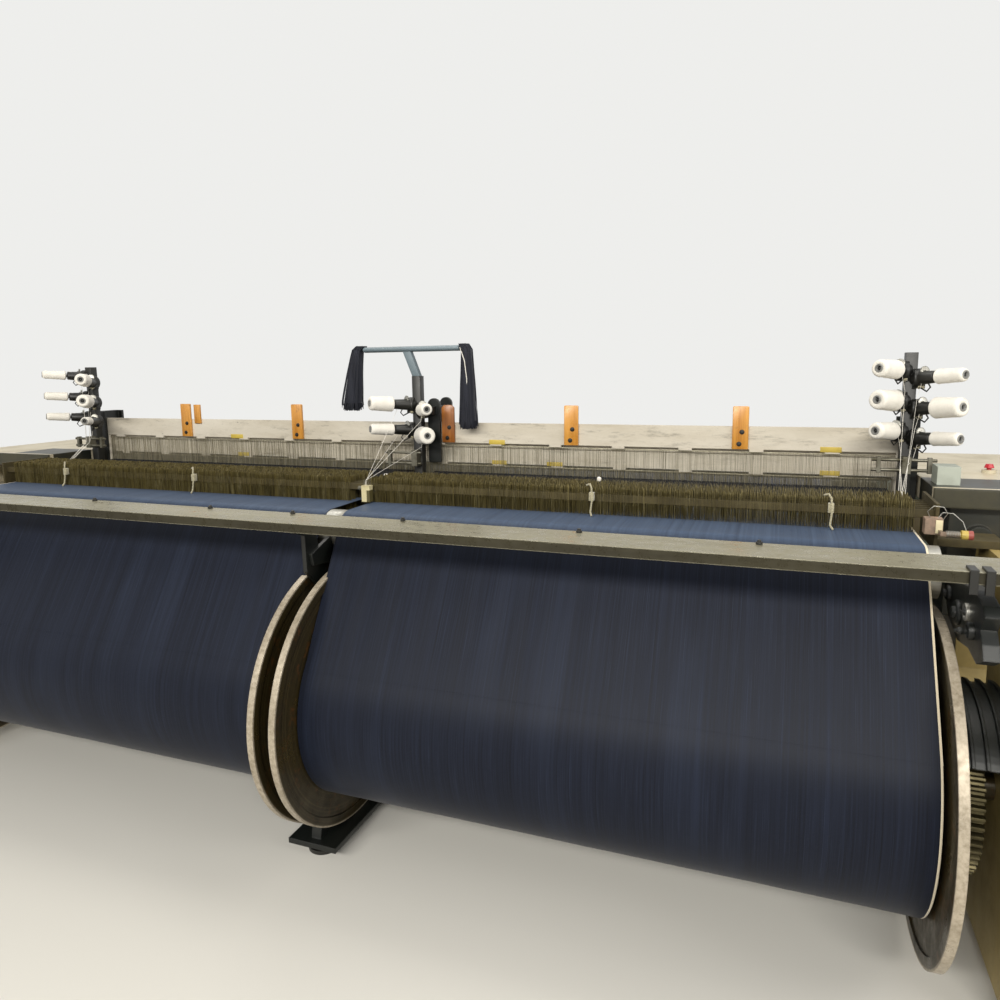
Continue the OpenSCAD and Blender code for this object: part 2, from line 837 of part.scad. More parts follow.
// Cone of yarn on its paper core; each cone is used up differently
module yarn_cone(seat) {
    translate([0, 0, seat[2] + seat_gap]) difference() {
        union() {
            cylinder(r1 = cone_r0 * seat[3], r2 = cone_r1 * seat[3], h = cone_l - 12);
            cylinder(r = core_r, h = cone_l);
        }
        translate([0, 0, -1]) cylinder(r = pin_r + clr, h = cone_l + 2);
    }
}

module cones(x, top, seats) {
    color("#f4f0ea") for (seat = seats) cone_seat(x, top, seat) yarn_cone(seat);
}

module left_creel_post() {
    creel_post(-post_x, side_post_z, left_seats);
}

module centre_creel_post() {
    creel_post(0, centre_post_z, centre_seats);
}

module right_creel_post() {
    creel_post(post_x, side_post_z, right_seats);
}

module left_cones() {
    cones(-post_x, side_post_z, left_seats);
}

module centre_cones() {
    cones(0, centre_post_z, centre_seats);
}

module right_cones() {
    cones(post_x, side_post_z, right_seats);
}

// Hanger bar above the centre post, carried by a slanted strut
hanger_x0 = -270;
hanger_y = post_y + 6;
strut_x = -52;
strut_w = 28;
module yarn_hanger() {
    color("#5c6b74") union() {
        box(
            [hanger_x0, hanger_y - hanger_w / 2, hanger_z - 20],
            [hanger_x0 + hanger_l, hanger_y + hanger_w / 2, hanger_z + 5]
        );
        along_y(hanger_y - strut_w / 2, hanger_y + strut_w / 2) polygon([
            [strut_x - post_w / 2, hanger_z - 19], [strut_x + post_w / 2, hanger_z - 19],
            [post_w / 2, centre_post_z], [-post_w / 2, centre_post_z]
        ]);
    }
}

// Two hanks of yarn ends that hang from the hanger's ends, as plain solids that widen downwards
hank_t = 40;
module hank(x, s, drop, inner) {
    along_y(hanger_y - hank_t / 2, hanger_y + hank_t / 2) polygon([
        [x + s * clr, hanger_z + 5], [x + s * 22, hanger_z], [x + s * 40, hanger_z - 70],
        [x + s * 50, hanger_z - drop * 0.6], [x + s * 64, hanger_z - drop],
        [x + s * inner, hanger_z - drop], [x + s * min(clr, inner / 3), hanger_z - 70],
        [x + s * clr, hanger_z - 26]
    ]);
}

module yarn_hanks() {
    color("#1d2333") {
        hank(hanger_x0, -1, 262, -30);
        hank(hanger_x0 + hanger_l, 1, 338, 2);
    }
}

// Rods, eyelets and blocks that lead the selvedge yarns
rod_in = 113;
rod_out = 97;
side_rods_z = [head_top_z + 30, head_top_z + 67];
centre_rods_z = [centre_post_z - 392, centre_post_z - 343];
module yarn_guides() {
    color("#8c8c86") {
        guide_rods(post_x - rod_in, post_x + rod_out, side_rods_z[0], side_rods_z[1], post_x);
        guide_rods(-post_x - rod_out, -post_x + rod_in, side_rods_z[0], side_rods_z[1], -post_x);
        guide_rods(-150, 30, centre_rods_z[0], centre_rods_z[1], 0);
        union() {
            box([22, 150, warp_top_z + 6], [58, 176, warp_top_z + 70]);
            box([22, 174, contact_z + 4], [36, drop_y - contact_t / 2, contact_z + 20]);
        }
        union() {
            box([beam_out - 34.5, 130, warp_top_z + 8], [beam_out + 13.5, 168, warp_top_z + 56]);
            box([beam_out, 166, warp_top_z + 14], [beam_out + 10, plate_y0, warp_top_z + 40]);
        }
        union() {
            bar_x(13.5, beam_out + 54.5, beam_out + 84.5, 100, warp_z + 20, 32);
            box([beam_out + 1, 94, warp_z + 14], [beam_out + 59.5, 106, warp_z + 26]);
            box([beam_out + 1, 94, warp_z + 14], [beam_out + 9, plate_y0, warp_z + 26]);
        }
    }
}

module guide_rods(x0, x1, z0, z1, x_post) {
    union() {
        for (z = [z0, z1]) bar_x(6, x0, x1, 660, z, 24);
        box([x_post - 14, 648, z0 - 12], [x_post + 14, post_y - post_w / 2, z1 + 12]);
        for (x = [x0 + 16, x1 - 30]) box([x, 650, z0 - 10], [x + 14, 670, z1 + 10]);
    }
}

// Temples at the cloth edges, each on a bracket from the breast beam
module temples() {
    color("#8c8c86") for (x = [[-cloth_out_x, 170], [-230, 170], [60, 170], [cloth_out_x - 170, 170]])
        union() {
            bar_x(15, x[0], x[0] + x[1], fell_y + 40, warp_z + cloth_t + 18, 32);
            box(
                [x[0] + 60, fell_y + 40, warp_z + cloth_t + 14],
                [x[0] + 100, breast_y - 20, warp_z + cloth_t + 24]
            );
            box(
                [x[0] + 60, breast_y - 40, warp_z + cloth_t + clr],
                [x[0] + 100, breast_y - 20, warp_z + cloth_t + 24]
            );
        }
}

// Motor with its foot
module drive_motor() {
    color("#5c7a80") difference() {
        union() {
            bar_x(motor_r, fly_x + 30, fly_x + 360, motor_y, motor_z);
            box([fly_x + 60, motor_y - 110, 0], [fly_x + 330, motor_y + 110, 20]);
            box([fly_x + 90, motor_y - 70, 10], [fly_x + 300, motor_y + 70, motor_z]);
        }
        bar_x(19 + run, fly_x + 20, fly_x + 200, motor_y, motor_z);
    }
}

// Ribbed gear guards on the side frames
guard_r = beam_pitch_r + addendum + 24;
guard_t = 16;
guard_x0 = gear_x - 14;
guard_from = 70;
guard_to = 146;
guard_ribs = 5;
guard_rib_w = 8;
guard_rib_h = 10;
module guard_ring(r0, r1, x0, x1) {
    along_x(x0, x1) polygon(concat(
        arc([0, beam_axis_z], r1, guard_from, guard_to, 20),
        reversed(arc([0, beam_axis_z], r0, guard_from, guard_to, 20))
    ));
}

module gear_guard() {
    step = (frame_x - guard_x0 - guard_rib_w) / (guard_ribs - 1);
    color("#1c211b") union() {
        guard_ring(guard_r, guard_r + guard_t, guard_x0, frame_x);
        for (k = [0:guard_ribs - 1]) let (x = guard_x0 + k * step)
            guard_ring(guard_r + guard_t - 1, guard_r + guard_t + guard_rib_h, x, x + guard_rib_w);
    }
}

module gear_guards() {
    gear_guard();
    mirror_x() gear_guard();
}

// Operator box on the cloth side and the small sensor box on the right head
control_x = head_x0 + 330;
control_y = head_y1;
control_z = 1180;
module control_box() {
    color("#b9bfb4") {
        difference() {
            box(
                [control_x - 120, control_y, control_z - 110],
                [control_x + 120, control_y + 60, control_z + 50]
            );
            translate([control_x, control_y + 61, control_z - 60]) rotate([90, 0, 0])
                cylinder(r = 6 + run, h = 40);
        }
        box([head_x0 + 20, 530, head_top_z], [head_x0 + 90, 630, head_top_z + 62]);
    }
}

// Cloth from the fell over the breast beam to the cloth roll
cloth_path = [
    [fell_y, warp_z + cloth_t / 2, 0, -1],
    [breast_y, breast_z, breast_r + clr + cloth_t / 2, -1],
    [takeup_y, takeup_z, takeup_r + clr + cloth_t / 2, -1],
    [press_y, press_z, press_r + clr + cloth_t / 2, 1],
    [cloth_roll_y, cloth_roll_z, cloth_r + clr + cloth_t / 2, 1]
];
module woven_cloth() {
    color("#39405c") {
        along_x(-cloth_out_x, -cloth_in_x) web_section(cloth_path, cloth_t);
        along_x(cloth_in_x, cloth_out_x) web_section(cloth_path, cloth_t);
    }
}

// Warp sheets from the beams over the whip roll to the drop wires
warp_path = [
    [0, beam_axis_z, yarn_r + clr + sheet_t / 2, -1],
    [whip_y, whip_z, whip_r + clr + sheet_t / 2, -1],
    [sheet_end_y, warp_z + sheet_t / 2, 0, -1]
];
module left_warp_sheet() {
    color("#2b3046") along_x(-sheet_out_x, -sheet_in_left - 15) web_section(warp_path, sheet_t);
}

module right_warp_sheet() {
    color("#2b3046") along_x(sheet_in_right + 22, sheet_out_x) web_section(warp_path, sheet_t);
}

// Warp between the stop motion and the heald frames, and on to the reed
shed_t = 2;
shed_start = sheet_end_y + clr;
shed_end_y = heald_y - heddle_t / 2 - clr;
shed_back_y = heald_plane(3) + heddle_t / 2 + clr;
module shed_part(y0, z0, y1, z1) {
    for (x = [[-sheet_out_x, -sheet_in_left], [sheet_in_right, sheet_out_x]])
        along_x(x[0], x[1]) polygon([
            [y0, z0 - shed_t / 2], [y1, z1 - shed_t / 2], [y1, z1 + shed_t / 2], [y0, z0 + shed_t / 2]
        ]);
}

// Height of the warp on its way from a heald frame to the fell
function shed_z(k, y) =
    eye_z(k) + (warp_z - eye_z(k)) * (y - heald_plane(k)) / (fell_y - heald_plane(k));
upper_end_y = fell_y - 98;
lower_end_y = fell_y - 90;
module upper_shed_sheet() {
    color("#2b3046") {
        shed_part(shed_start, warp_top_z + shed_t / 2 + clr, shed_end_y, eye_z(0));
        shed_part(shed_back_y, shed_z(0, shed_back_y), upper_end_y, shed_z(0, upper_end_y));
    }
}

module lower_shed_sheet() {
    color("#2b3046") {
        shed_part(shed_start, warp_z - shed_t / 2 - clr, shed_end_y, eye_z(1));
        shed_part(shed_back_y, shed_z(2, shed_back_y), lower_end_y, shed_z(2, lower_end_y));
    }
}

// Flat drive belt round the flywheel and the motor pulley
function belt_loop(off) =
    let (
        a = [fly_y, fly_z, fly_r + off, 1],
        b = [motor_y, motor_z, pulley_r + off, 1],
        out = touch_at(a, touch_angle(a, b)),
        back = touch_at(a, touch_angle(b, a))
    )
    concat(
        arc([b[0], b[1]], b[2], out, out + turn_of(b, out, back), 20),
        arc([a[0], a[1]], a[2], back, back + turn_of(a, back, out), 40)
    );
module drive_belt() {
    color("#2b2b2b") along_x(fly_x - fly_w / 2 - belt_w / 2, fly_x - fly_w / 2 + belt_w / 2)
        difference() {
            polygon(belt_loop(clr + belt_t));
            polygon(belt_loop(clr));
        }
}

// Back rest levers: two end castings on pins in the side frames and a centre cradle
lever_x0 = beam_out + 12;
module lever_outline() {
    difference() {
        union() {
            circle_at(whip_y, whip_z, whip_journal_r + 22);
            circle_at(lever_y, lever_z, lever_pin_r + 24);
            polygon([
                [whip_y - 12, whip_z + 45], [lever_y - 38, lever_z + 88],
                [lever_y - 141, lever_z + 102], [lever_y - 224, lever_z + 87],
                [lever_y - 249, lever_z + 66], [lever_y - 216, lever_z + 26],
                [lever_y - 244, lever_z - 1], [lever_y - 264, lever_z - 34],
                [lever_y - 206, lever_z - 63], [lever_y - 121, lever_z - 54],
                [lever_y - 2, lever_z - 75], [whip_y - 47, lever_z - 47], [whip_y + 40, whip_z - 38]
            ]);
        }
        circle_at(whip_y, whip_z, whip_journal_r + run);
        circle_at(lever_y - 154, lever_z + 2, 14);
    }
}

module back_rest_levers() {
    color("#1a1d1c") {
        for (s = [-1, 1]) mirror([s > 0 ? 0 : 1, 0, 0]) difference() {
            union() {
                along_x(lever_x0, lever_x0 + lever_t) lever_outline();
                bar_x(lever_pin_r, lever_x0 - 12, frame_x + 100, lever_y, lever_z);
            }
            bar_x(lever_pin_r - 6, lever_x0 - 13, lever_x0 + 20, lever_y, lever_z);
        }
        union() {
            along_x(cradle_x, cradle_x + 14) difference() {
                polygon([
                    [lever_y - 30, lever_z + 14], [lever_y - 20, lever_z - 30],
                    [whip_y - 60, whip_z - 108], [whip_y + 60, whip_z - 96],
                    [whip_y + 84, whip_z - 30], [whip_y - 84, whip_z - 10], [lever_y + 20, lever_z + 30]
                ]);
                circle_at(whip_y, whip_z, whip_r + clr);
            }
            bar_x(lever_pin_r, -stand_t / 2, cradle_x + 14, lever_y, lever_z);
        }
    }
}
cradle_x = stand_top_t - stand_t / 2 + clr;

// Whip roll: a tube with turned ends and journals
whip_end = beam_out - 14;
module whip_roll() {
    color("#8f8f88") turned_x([
        [-whip_end - 60, 12], [-whip_end - 60, whip_journal_r], [-whip_end, whip_journal_r],
        [-whip_end, whip_r], [whip_end, whip_r], [whip_end, whip_journal_r],
        [whip_end + 60, whip_journal_r], [whip_end + 60, 12], [whip_end - 20, 12],
        [whip_end - 20, whip_r - whip_wall], [-whip_end + 20, whip_r - whip_wall],
        [-whip_end + 20, 12]
    ], whip_y, whip_z);
}

// Warp beam: barrel, two flanges with rims and two journals, welded as one piece
module beam() {
    rim_step = (flange_rim_t - flange_web_t) / 2;
    hub_r = barrel_r + 40;
    color("#5a4a30") turned_x([
        [journal_in, 14], [journal_in, journal_r], [beam_in, journal_r], [beam_in, hub_r],
        [beam_in + rim_step, hub_r], [beam_in + rim_step, flange_r - flange_rim_w],
        [beam_in, flange_r - flange_rim_w], [beam_in, flange_r], [span_in, flange_r],
        [span_in, flange_r - flange_rim_w], [span_in - rim_step, flange_r - flange_rim_w],
        [span_in - rim_step, barrel_r], [span_out + rim_step, barrel_r],
        [span_out + rim_step, flange_r - flange_rim_w], [span_out, flange_r - flange_rim_w],
        [span_out, flange_r], [beam_out, flange_r], [beam_out, flange_r - flange_rim_w],
        [beam_out - rim_step, flange_r - flange_rim_w], [beam_out - rim_step, hub_r],
        [beam_out, hub_r], [beam_out, journal_r], [journal_out, journal_r], [journal_out, 14],
        [beam_out - 30, 14], [beam_out - 30, barrel_r - barrel_wall],
        [beam_in + 40, barrel_r - barrel_wall], [beam_in + 40, 14]
    ], 0, beam_axis_z, 128);
}

// Yarn wound between the flanges
module beam_yarn() {
    color("#2b3046") turned_x([
        [span_in, barrel_r + clr], [span_in, yarn_r], [span_out, yarn_r], [span_out, barrel_r + clr]
    ], 0, beam_axis_z, 128);
}

// Beam gear with spokes between hub and rim
module beam_gear() {
    color("#3d3722") difference() {
        union() {
            translate([gear_x, 0, beam_axis_z]) rotate([90, 0, 90]) rotate([0, 0, pinion_dir])
                linear_extrude(gear_w) difference() {
                    polygon(gear_outline(beam_teeth));
                    for (a = [0:60:300]) rotate(a + 30) translate([beam_pitch_r * 0.62, 0]) circle(r = 42);
                }
            bar_x(barrel_r, beam_out, gear_x + 1, 0, beam_axis_z);
        }
        bar_x(journal_r + run, beam_out - 1, gear_x + gear_w + 1, 0, beam_axis_z);
    }
}

// Let-off pinion with its shaft in the side frame
module letoff_pinion() {
    color("#6b6a62") union() {
        translate([gear_x + 2, pinion_y, pinion_z]) rotate([90, 0, 90])
            rotate([0, 0, pinion_dir + 180 + 180 / pinion_teeth])
                linear_extrude(gear_w - 4) polygon(gear_outline(pinion_teeth));
        bar_x(pinion_shaft_r, gear_x - 12, frame_x + 110, pinion_y, pinion_z);
    }
}

module left_beam() {
    mirror_x() beam();
}

module right_beam() {
    beam();
}

module left_beam_yarn() {
    mirror_x() beam_yarn();
}

module right_beam_yarn() {
    beam_yarn();
}

module left_beam_gear() {
    mirror_x() beam_gear();
}

module right_beam_gear() {
    beam_gear();
}

module left_letoff_pinion() {
    mirror_x() letoff_pinion();
}

module right_letoff_pinion() {
    letoff_pinion();
}

// Heald frame: two staves, two side stays, heald rod clips and lift rods
module heald_frame(k) {
    y = heald_plane(k);
    top = stave_z(k);
    low = eye_z(k) - eye_to_stave;
    color("#d5cdbf") {
        box([-heald_half + stay_w, y - heald_t / 2, top], [heald_half - stay_w, y + heald_t / 2, top + stave_h]);
        union() {
            box(
                [-heald_half + stay_w, y - heald_t / 2, low - stave_h],
                [heald_half - stay_w, y + heald_t / 2, low]
            );
            for (s = [-1, 1]) translate([s * lift_rod_x, y, low - stave_h - lift_rod_l])
                cylinder(r = lift_rod_r, h = lift_rod_l + 10);
        }
        for (s = [-1, 1])
            box(
                [s > 0 ? heald_half - stay_w : -heald_half, y - heald_t / 2, low - stave_h],
                [s > 0 ? heald_half : -heald_half + stay_w, y + heald_t / 2, top + stave_h]
            );
        for (x = heald_clips) for (z = [top - rod_drop, low])
            box(
                [x - clip_w / 2, y - heald_t / 2, z + (z > eye_z(k) ? rod_h : 0)],
                [x + clip_w / 2, y + heald_t / 2, z + (z > eye_z(k) ? rod_drop : rod_drop - rod_h)]
            );
    }
}

// Heddles: strips between the two heald rods
module heddles(k) {
    y = heald_plane(k);
    z1 = stave_z(k) - rod_drop + rod_h;
    z0 = eye_z(k) - eye_to_stave + rod_drop - rod_h;
    x1 = heald_half - stay_w - 4;
    pitch = 2 * x1 / heddle_count;
    color("#8c8878") along_y(y - heddle_t / 2, y + heddle_t / 2) difference() {
        translate([-x1, z0]) square([2 * x1, z1 - z0]);
        for (i = [0:heddle_count - 1])
            translate([-x1 + (i + 0.22) * pitch, z0 + rod_h]) square([pitch * 0.56, z1 - z0 - 2 * rod_h]);
    }
}

module heald_frame_1() {
    heald_frame(0);
}

module heald_frame_2() {
    heald_frame(1);
}

module heald_frame_3() {
    heald_frame(2);
}

module heald_frame_4() {
    heald_frame(3);
}

module heddles_1() {
    heddles(0);
}

module heddles_2() {
    heddles(1);
}

module heddles_3() {
    heddles(2);
}

module heddles_4() {
    heddles(3);
}

// Wooden blocks on the first heald frame
module frame_blocks() {
    color("#d99a45") for (x = block_x)
        box(
            [x - block_w / 2, heald_y0 - 12, stave_z(0)],
            [x + block_w / 2, heald_y0, stave_z(0) + stave_h + block_up]
        );
}

// Tip the sley from beat-up to its rest position
module tipped() {
    translate([0, rock_y, rock_z]) rotate([sley_back, 0, 0]) translate([0, -rock_y, -rock_z]) children();
}

// Reed: dents between two ribs
module reed() {
    z0 = sley_beam_z1 - 8;
    half = reed_half / reed_gaps;
    color("#6f7478") tipped() along_y(rock_y - reed_t / 2, rock_y + reed_t / 2) difference() {
        translate([-reed_half, z0]) square([2 * reed_half, reed_h]);
        for (i = [-reed_gaps:reed_gaps - 1])
            translate([(i + 0.25) * half, z0 + 16]) square([half * 0.5, reed_h - 28]);
    }
}

// Sley: grooved beam, guide teeth, levers and the rocking shaft
module sley() {
    color("#8b9390") tipped() union() {
        difference() {
            along_x(-reed_half - 20, reed_half + 20) difference() {
                polygon([
                    [rock_y - 30, sley_beam_z0], [rock_y + 32, sley_beam_z0],
                    [rock_y + 32, sley_beam_z1], [rock_y - 30, sley_beam_z1]
                ]);
                translate([rock_y - 20, sley_beam_z0 + 10]) square([42, 46]);
                translate([rock_y - reed_t / 2, sley_beam_z1 - 8]) square([reed_t, 10]);
            }
        }
        along_y(rock_y + 14, rock_y + 28) guide_teeth();
        for (k = [0:lever_count - 1]) box(
            [lever_station(k), rock_y - 24, rock_z],
            [lever_station(k) + 34, rock_y + 24, sley_beam_z0 + 2]
        );
        tube_x(rock_r, 9, -frame_x - 60, frame_x + 60, rock_y, rock_z);
    }
}

guide_pitch = 70;
guide_count = floor((2 * reed_half - guide_pitch) / guide_pitch);
module guide_teeth() {
    z0 = sley_beam_z1 - 2;
    polygon(concat(
        [[-guide_pitch * guide_count / 2, z0]],
        [for (i = [0:guide_count - 1]) each [
            [(i - guide_count / 2 + 0.2) * guide_pitch, z0 + 10],
            [(i - guide_count / 2 + 0.25) * guide_pitch, z0 + 44],
            [(i - guide_count / 2 + 0.45) * guide_pitch, z0 + 44],
            [(i - guide_count / 2 + 0.5) * guide_pitch, z0 + 10]
        ]],
        [[guide_pitch * guide_count / 2, z0]]
    ));
}

// Hollow roll with turned ends
module hollow_roll(r, wall, half, y, z) {
    end = frame_x + 60;
    turned_x([
        [-end, 10], [-end, roll_journal_r], [-half, roll_journal_r], [-half, r],
        [half, r], [half, roll_journal_r], [end, roll_journal_r], [end, 10],
        [half - 15, 10], [half - 15, r - wall], [-half + 15, r - wall], [-half + 15, 10]
    ], y, z);
}

module take_up_roll() {
    color("#6b5d4a") hollow_roll(takeup_r, 8, roll_half, takeup_y, takeup_z);
}

module press_roll() {
    color("#a8a8a0") hollow_roll(press_r, 6, roll_half, press_y, press_z);
}

module cloth_roll() {
    color("#39405c") {
        hollow_roll(50, 8, roll_half, cloth_roll_y, cloth_roll_z);
        turned_x([
            [-cloth_out_x, 50 + clr], [-cloth_out_x, cloth_r], [cloth_out_x, cloth_r],
            [cloth_out_x, 50 + clr]
        ], cloth_roll_y, cloth_roll_z);
    }
}

// Flywheel with spokes and its shaft in the left head
module flywheel() {
    color("#2d4a48") difference() {
        union() {
            tube_x(fly_r, 24, fly_x - fly_w, fly_x, fly_y, fly_z);
            bar_x(fly_r - 20, fly_x - fly_w / 2 - 8, fly_x - fly_w / 2 + 8, fly_y, fly_z);
            bar_x(64, fly_x - fly_w, fly_x, fly_y, fly_z);
            bar_x(shaft_r, fly_x - fly_w - 20, -head_x1 + 200, fly_y, fly_z);
        }
        for (a = [0:60:300])
            bar_x(
                44, fly_x - fly_w - 1, fly_x + 1,
                fly_y + fly_r * 0.6 * cos(a), fly_z + fly_r * 0.6 * sin(a)
            );
    }
}

module motor_pulley() {
    color("#4a4a46") union() {
        bar_x(pulley_r, fly_x - fly_w, fly_x, motor_y, motor_z);
        bar_x(19, fly_x - 1, fly_x + 180, motor_y, motor_z);
    }
}

// Red mushroom button on the right head
module stop_button() {
    color("#c03038") translate([stop_x, stop_y, 0]) {
        translate([0, 0, head_top_z + 12 + button_travel + 1])
            cylinder(r1 = button_r, r2 = button_r - 5, h = 14);
        translate([0, 0, head_top_z - 34]) cylinder(r = 8, h = 34 + 12 + button_travel + 2);
    }
}

module start_button() {
    color("#3f8a4a") translate([control_x, control_y + 60, control_z - 60]) rotate([-90, 0, 0]) {
        translate([0, 0, 5]) cylinder(r = 14, h = 9);
        translate([0, 0, -32]) cylinder(r = 6, h = 38);
    }
}

left_side_frame();
right_side_frame();
centre_stand();
cross_girders();
rear_rail();
rail_clips();
levelling_feet();
breast_beam();
warp_stop_bars();
drop_wires();
heald_guides();
left_head_case();
right_head_case();
left_creel_post();
centre_creel_post();
right_creel_post();
left_cones();
centre_cones();
right_cones();
yarn_hanger();
yarn_hanks();
yarn_guides();
temples();
drive_motor();
gear_guards();
control_box();
woven_cloth();
left_warp_sheet();
right_warp_sheet();
upper_shed_sheet();
lower_shed_sheet();
drive_belt();
back_rest_levers();
whip_roll();
left_beam();
right_beam();
left_beam_yarn();
right_beam_yarn();
left_beam_gear();
right_beam_gear();
left_letoff_pinion();
right_letoff_pinion();
heald_frame_1();
heald_frame_2();
heald_frame_3();
heald_frame_4();
heddles_1();
heddles_2();
heddles_3();
heddles_4();
frame_blocks();
reed();
sley();
take_up_roll();
press_roll();
cloth_roll();
flywheel();
motor_pulley();
stop_button();
start_button();
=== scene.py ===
# %% [markdown]
# # Dressing a double-width power loom
# The construction of the loom comes in as a fixed frame: every casting, roll and joint is already at its
# real size and place. This lesson gives it its looks. We set up the light and the camera, write one finish
# for each real surface, and then replace the plain stand-ins for yarn, wires and wood by detailed pieces.

# %% Load the frame
import math

import bmesh
import bpy
import numpy as np
from mathutils import Matrix, Vector


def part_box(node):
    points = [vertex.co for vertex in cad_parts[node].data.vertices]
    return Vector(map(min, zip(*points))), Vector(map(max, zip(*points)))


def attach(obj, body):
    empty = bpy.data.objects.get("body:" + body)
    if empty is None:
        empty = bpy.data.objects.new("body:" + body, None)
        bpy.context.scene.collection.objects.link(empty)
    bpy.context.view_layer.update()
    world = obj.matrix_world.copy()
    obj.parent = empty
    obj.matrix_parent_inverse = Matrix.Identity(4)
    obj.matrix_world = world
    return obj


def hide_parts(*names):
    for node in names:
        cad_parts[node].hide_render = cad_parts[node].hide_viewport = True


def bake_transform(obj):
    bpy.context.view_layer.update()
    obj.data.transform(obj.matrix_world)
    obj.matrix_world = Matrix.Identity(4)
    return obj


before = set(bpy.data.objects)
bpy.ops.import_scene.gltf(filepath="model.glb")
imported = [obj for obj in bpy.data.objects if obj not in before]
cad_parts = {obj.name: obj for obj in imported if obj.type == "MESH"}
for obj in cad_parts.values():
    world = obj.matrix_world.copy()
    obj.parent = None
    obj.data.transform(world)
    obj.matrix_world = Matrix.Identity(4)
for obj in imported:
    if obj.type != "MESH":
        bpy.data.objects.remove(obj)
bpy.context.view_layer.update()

# %% [markdown]
# ## The camera
# The photographer stood behind the right warp beam, a little above the rail, and looked to the left over
# the loom. A camera is a place, three axes and a lens. The axes come from a heading, a downward tilt and a
# small roll, which were found from the straight edges of the rail, the whip roll and the staves.

# %% Camera
CAMERA_PLACE = Vector((1.5365, -2.345, 1.764))
HEADING, TILT, ROLL = math.radians(20.57), math.radians(8.6), math.radians(-0.8)
FRAME_PIXELS = 1000
FOCAL_PIXELS = 745
PRINCIPAL_ROW = 481


def camera_axes():
    """Right, up and forward of the camera, as unit vectors in the loom's frame."""
    level = Vector((-math.sin(HEADING), math.cos(HEADING), 0))
    side = Vector((math.cos(HEADING), math.sin(HEADING), 0))
    rise = Vector((0, 0, 1))
    forward = math.cos(TILT) * level - math.sin(TILT) * rise
    upward = math.sin(TILT) * level + math.cos(TILT) * rise
    right = math.cos(ROLL) * side + math.sin(ROLL) * upward
    return right, math.cos(ROLL) * upward - math.sin(ROLL) * side, forward


def make_camera():
    """The photograph's camera."""
    right, up, forward = camera_axes()
    data = bpy.data.cameras.new("loom_camera")
    data.sensor_width = 36
    data.lens = data.sensor_width * FOCAL_PIXELS / FRAME_PIXELS
    data.shift_y = (PRINCIPAL_ROW - FRAME_PIXELS / 2) / FRAME_PIXELS
    data.clip_start = 0.05
    camera = bpy.data.objects.new("loom_camera", data)
    bpy.context.scene.collection.objects.link(camera)
    turn = Matrix((right, up, -forward)).transposed().to_4x4()
    camera.matrix_world = Matrix.Translation(CAMERA_PLACE) @ turn
    bpy.context.scene.camera = camera
    print("lens", round(data.lens, 2), "mm")


make_camera()

# %% [markdown]
# ## Helpers for shader and geometry trees
# Every material and every Geometry Nodes tree is a set of nodes joined by links. One helper adds a node and
# fills its sockets, so that a whole finish reads like a list. Colours are written as on a screen, in six
# digits.

# %% Node helpers


def colour(code):
    """A linear colour from a screen colour written as six hexadecimal digits."""
    parts = [int(code[i:i + 2], 16) / 255 for i in (0, 2, 4)]
    linear = [p / 12.92 if p <= 0.04045 else ((p + 0.055) / 1.055) ** 2.4 for p in parts]
    return (*linear, 1.0)


def add(tree, kind, inputs=None, **settings):
    """Adds a node. A socket is linked, a colour code is turned into a colour, and the rest is set."""
    made = tree.nodes.new(kind)
    for key, value in settings.items():
        setattr(made, key, value)
    for key, value in (inputs or {}).items():
        if isinstance(value, bpy.types.NodeSocket):
            tree.links.new(value, made.inputs[key])
        else:
            made.inputs[key].default_value = colour(value) if isinstance(value, str) else value
    return made


def out(tree, kind, inputs=None, output=0, **settings):
    """Adds a node and returns one of its outputs."""
    return add(tree, kind, inputs, **settings).outputs[output]


# %% [markdown]
# ## Light and floor
# The mill is lit by rows of lamps under the ceiling. The row that counts hangs well behind the camera, so
# its light comes in low, fills the faces of the staves and throws the rail's dark shadow on the warp just
# below the lip. A weaker row lights the tops, and a small one the right end. Only camera, glossy and
# transmission rays see the bright backdrop.

# %% Light and floor
FLOOR_HALF = 14.0
LAMPS = {
    # name: place, target, width, depth, watts, tint
    "rear_lamps": ((0.8, -6.2, 4.3), (0, 0.2, 1.0), 9.0, 0.9, 640, (1.0, 0.97, 0.90)),
    "ceiling_lamps": ((0.2, 0.9, 4.8), (0, 0.4, 0.9), 7.0, 1.4, 120, (1.0, 0.96, 0.88)),
    "right_lamps": ((5.2, -1.2, 3.0), (1.8, 0.1, 0.8), 2.4, 1.2, 60, (1.0, 0.97, 0.92)),
}


def area_lamp(name, place, target, width, depth, power, tint):
    """A rectangular lamp that shines from place to target."""
    data = bpy.data.lights.new(name, "AREA")
    data.shape = "RECTANGLE"
    data.size, data.size_y, data.energy, data.color = width, depth, power, tint
    lamp = bpy.data.objects.new(name, data)
    lamp.location = place
    lamp.rotation_euler = (Vector(target) - Vector(place)).to_track_quat("-Z", "Y").to_euler()
    bpy.context.scene.collection.objects.link(lamp)


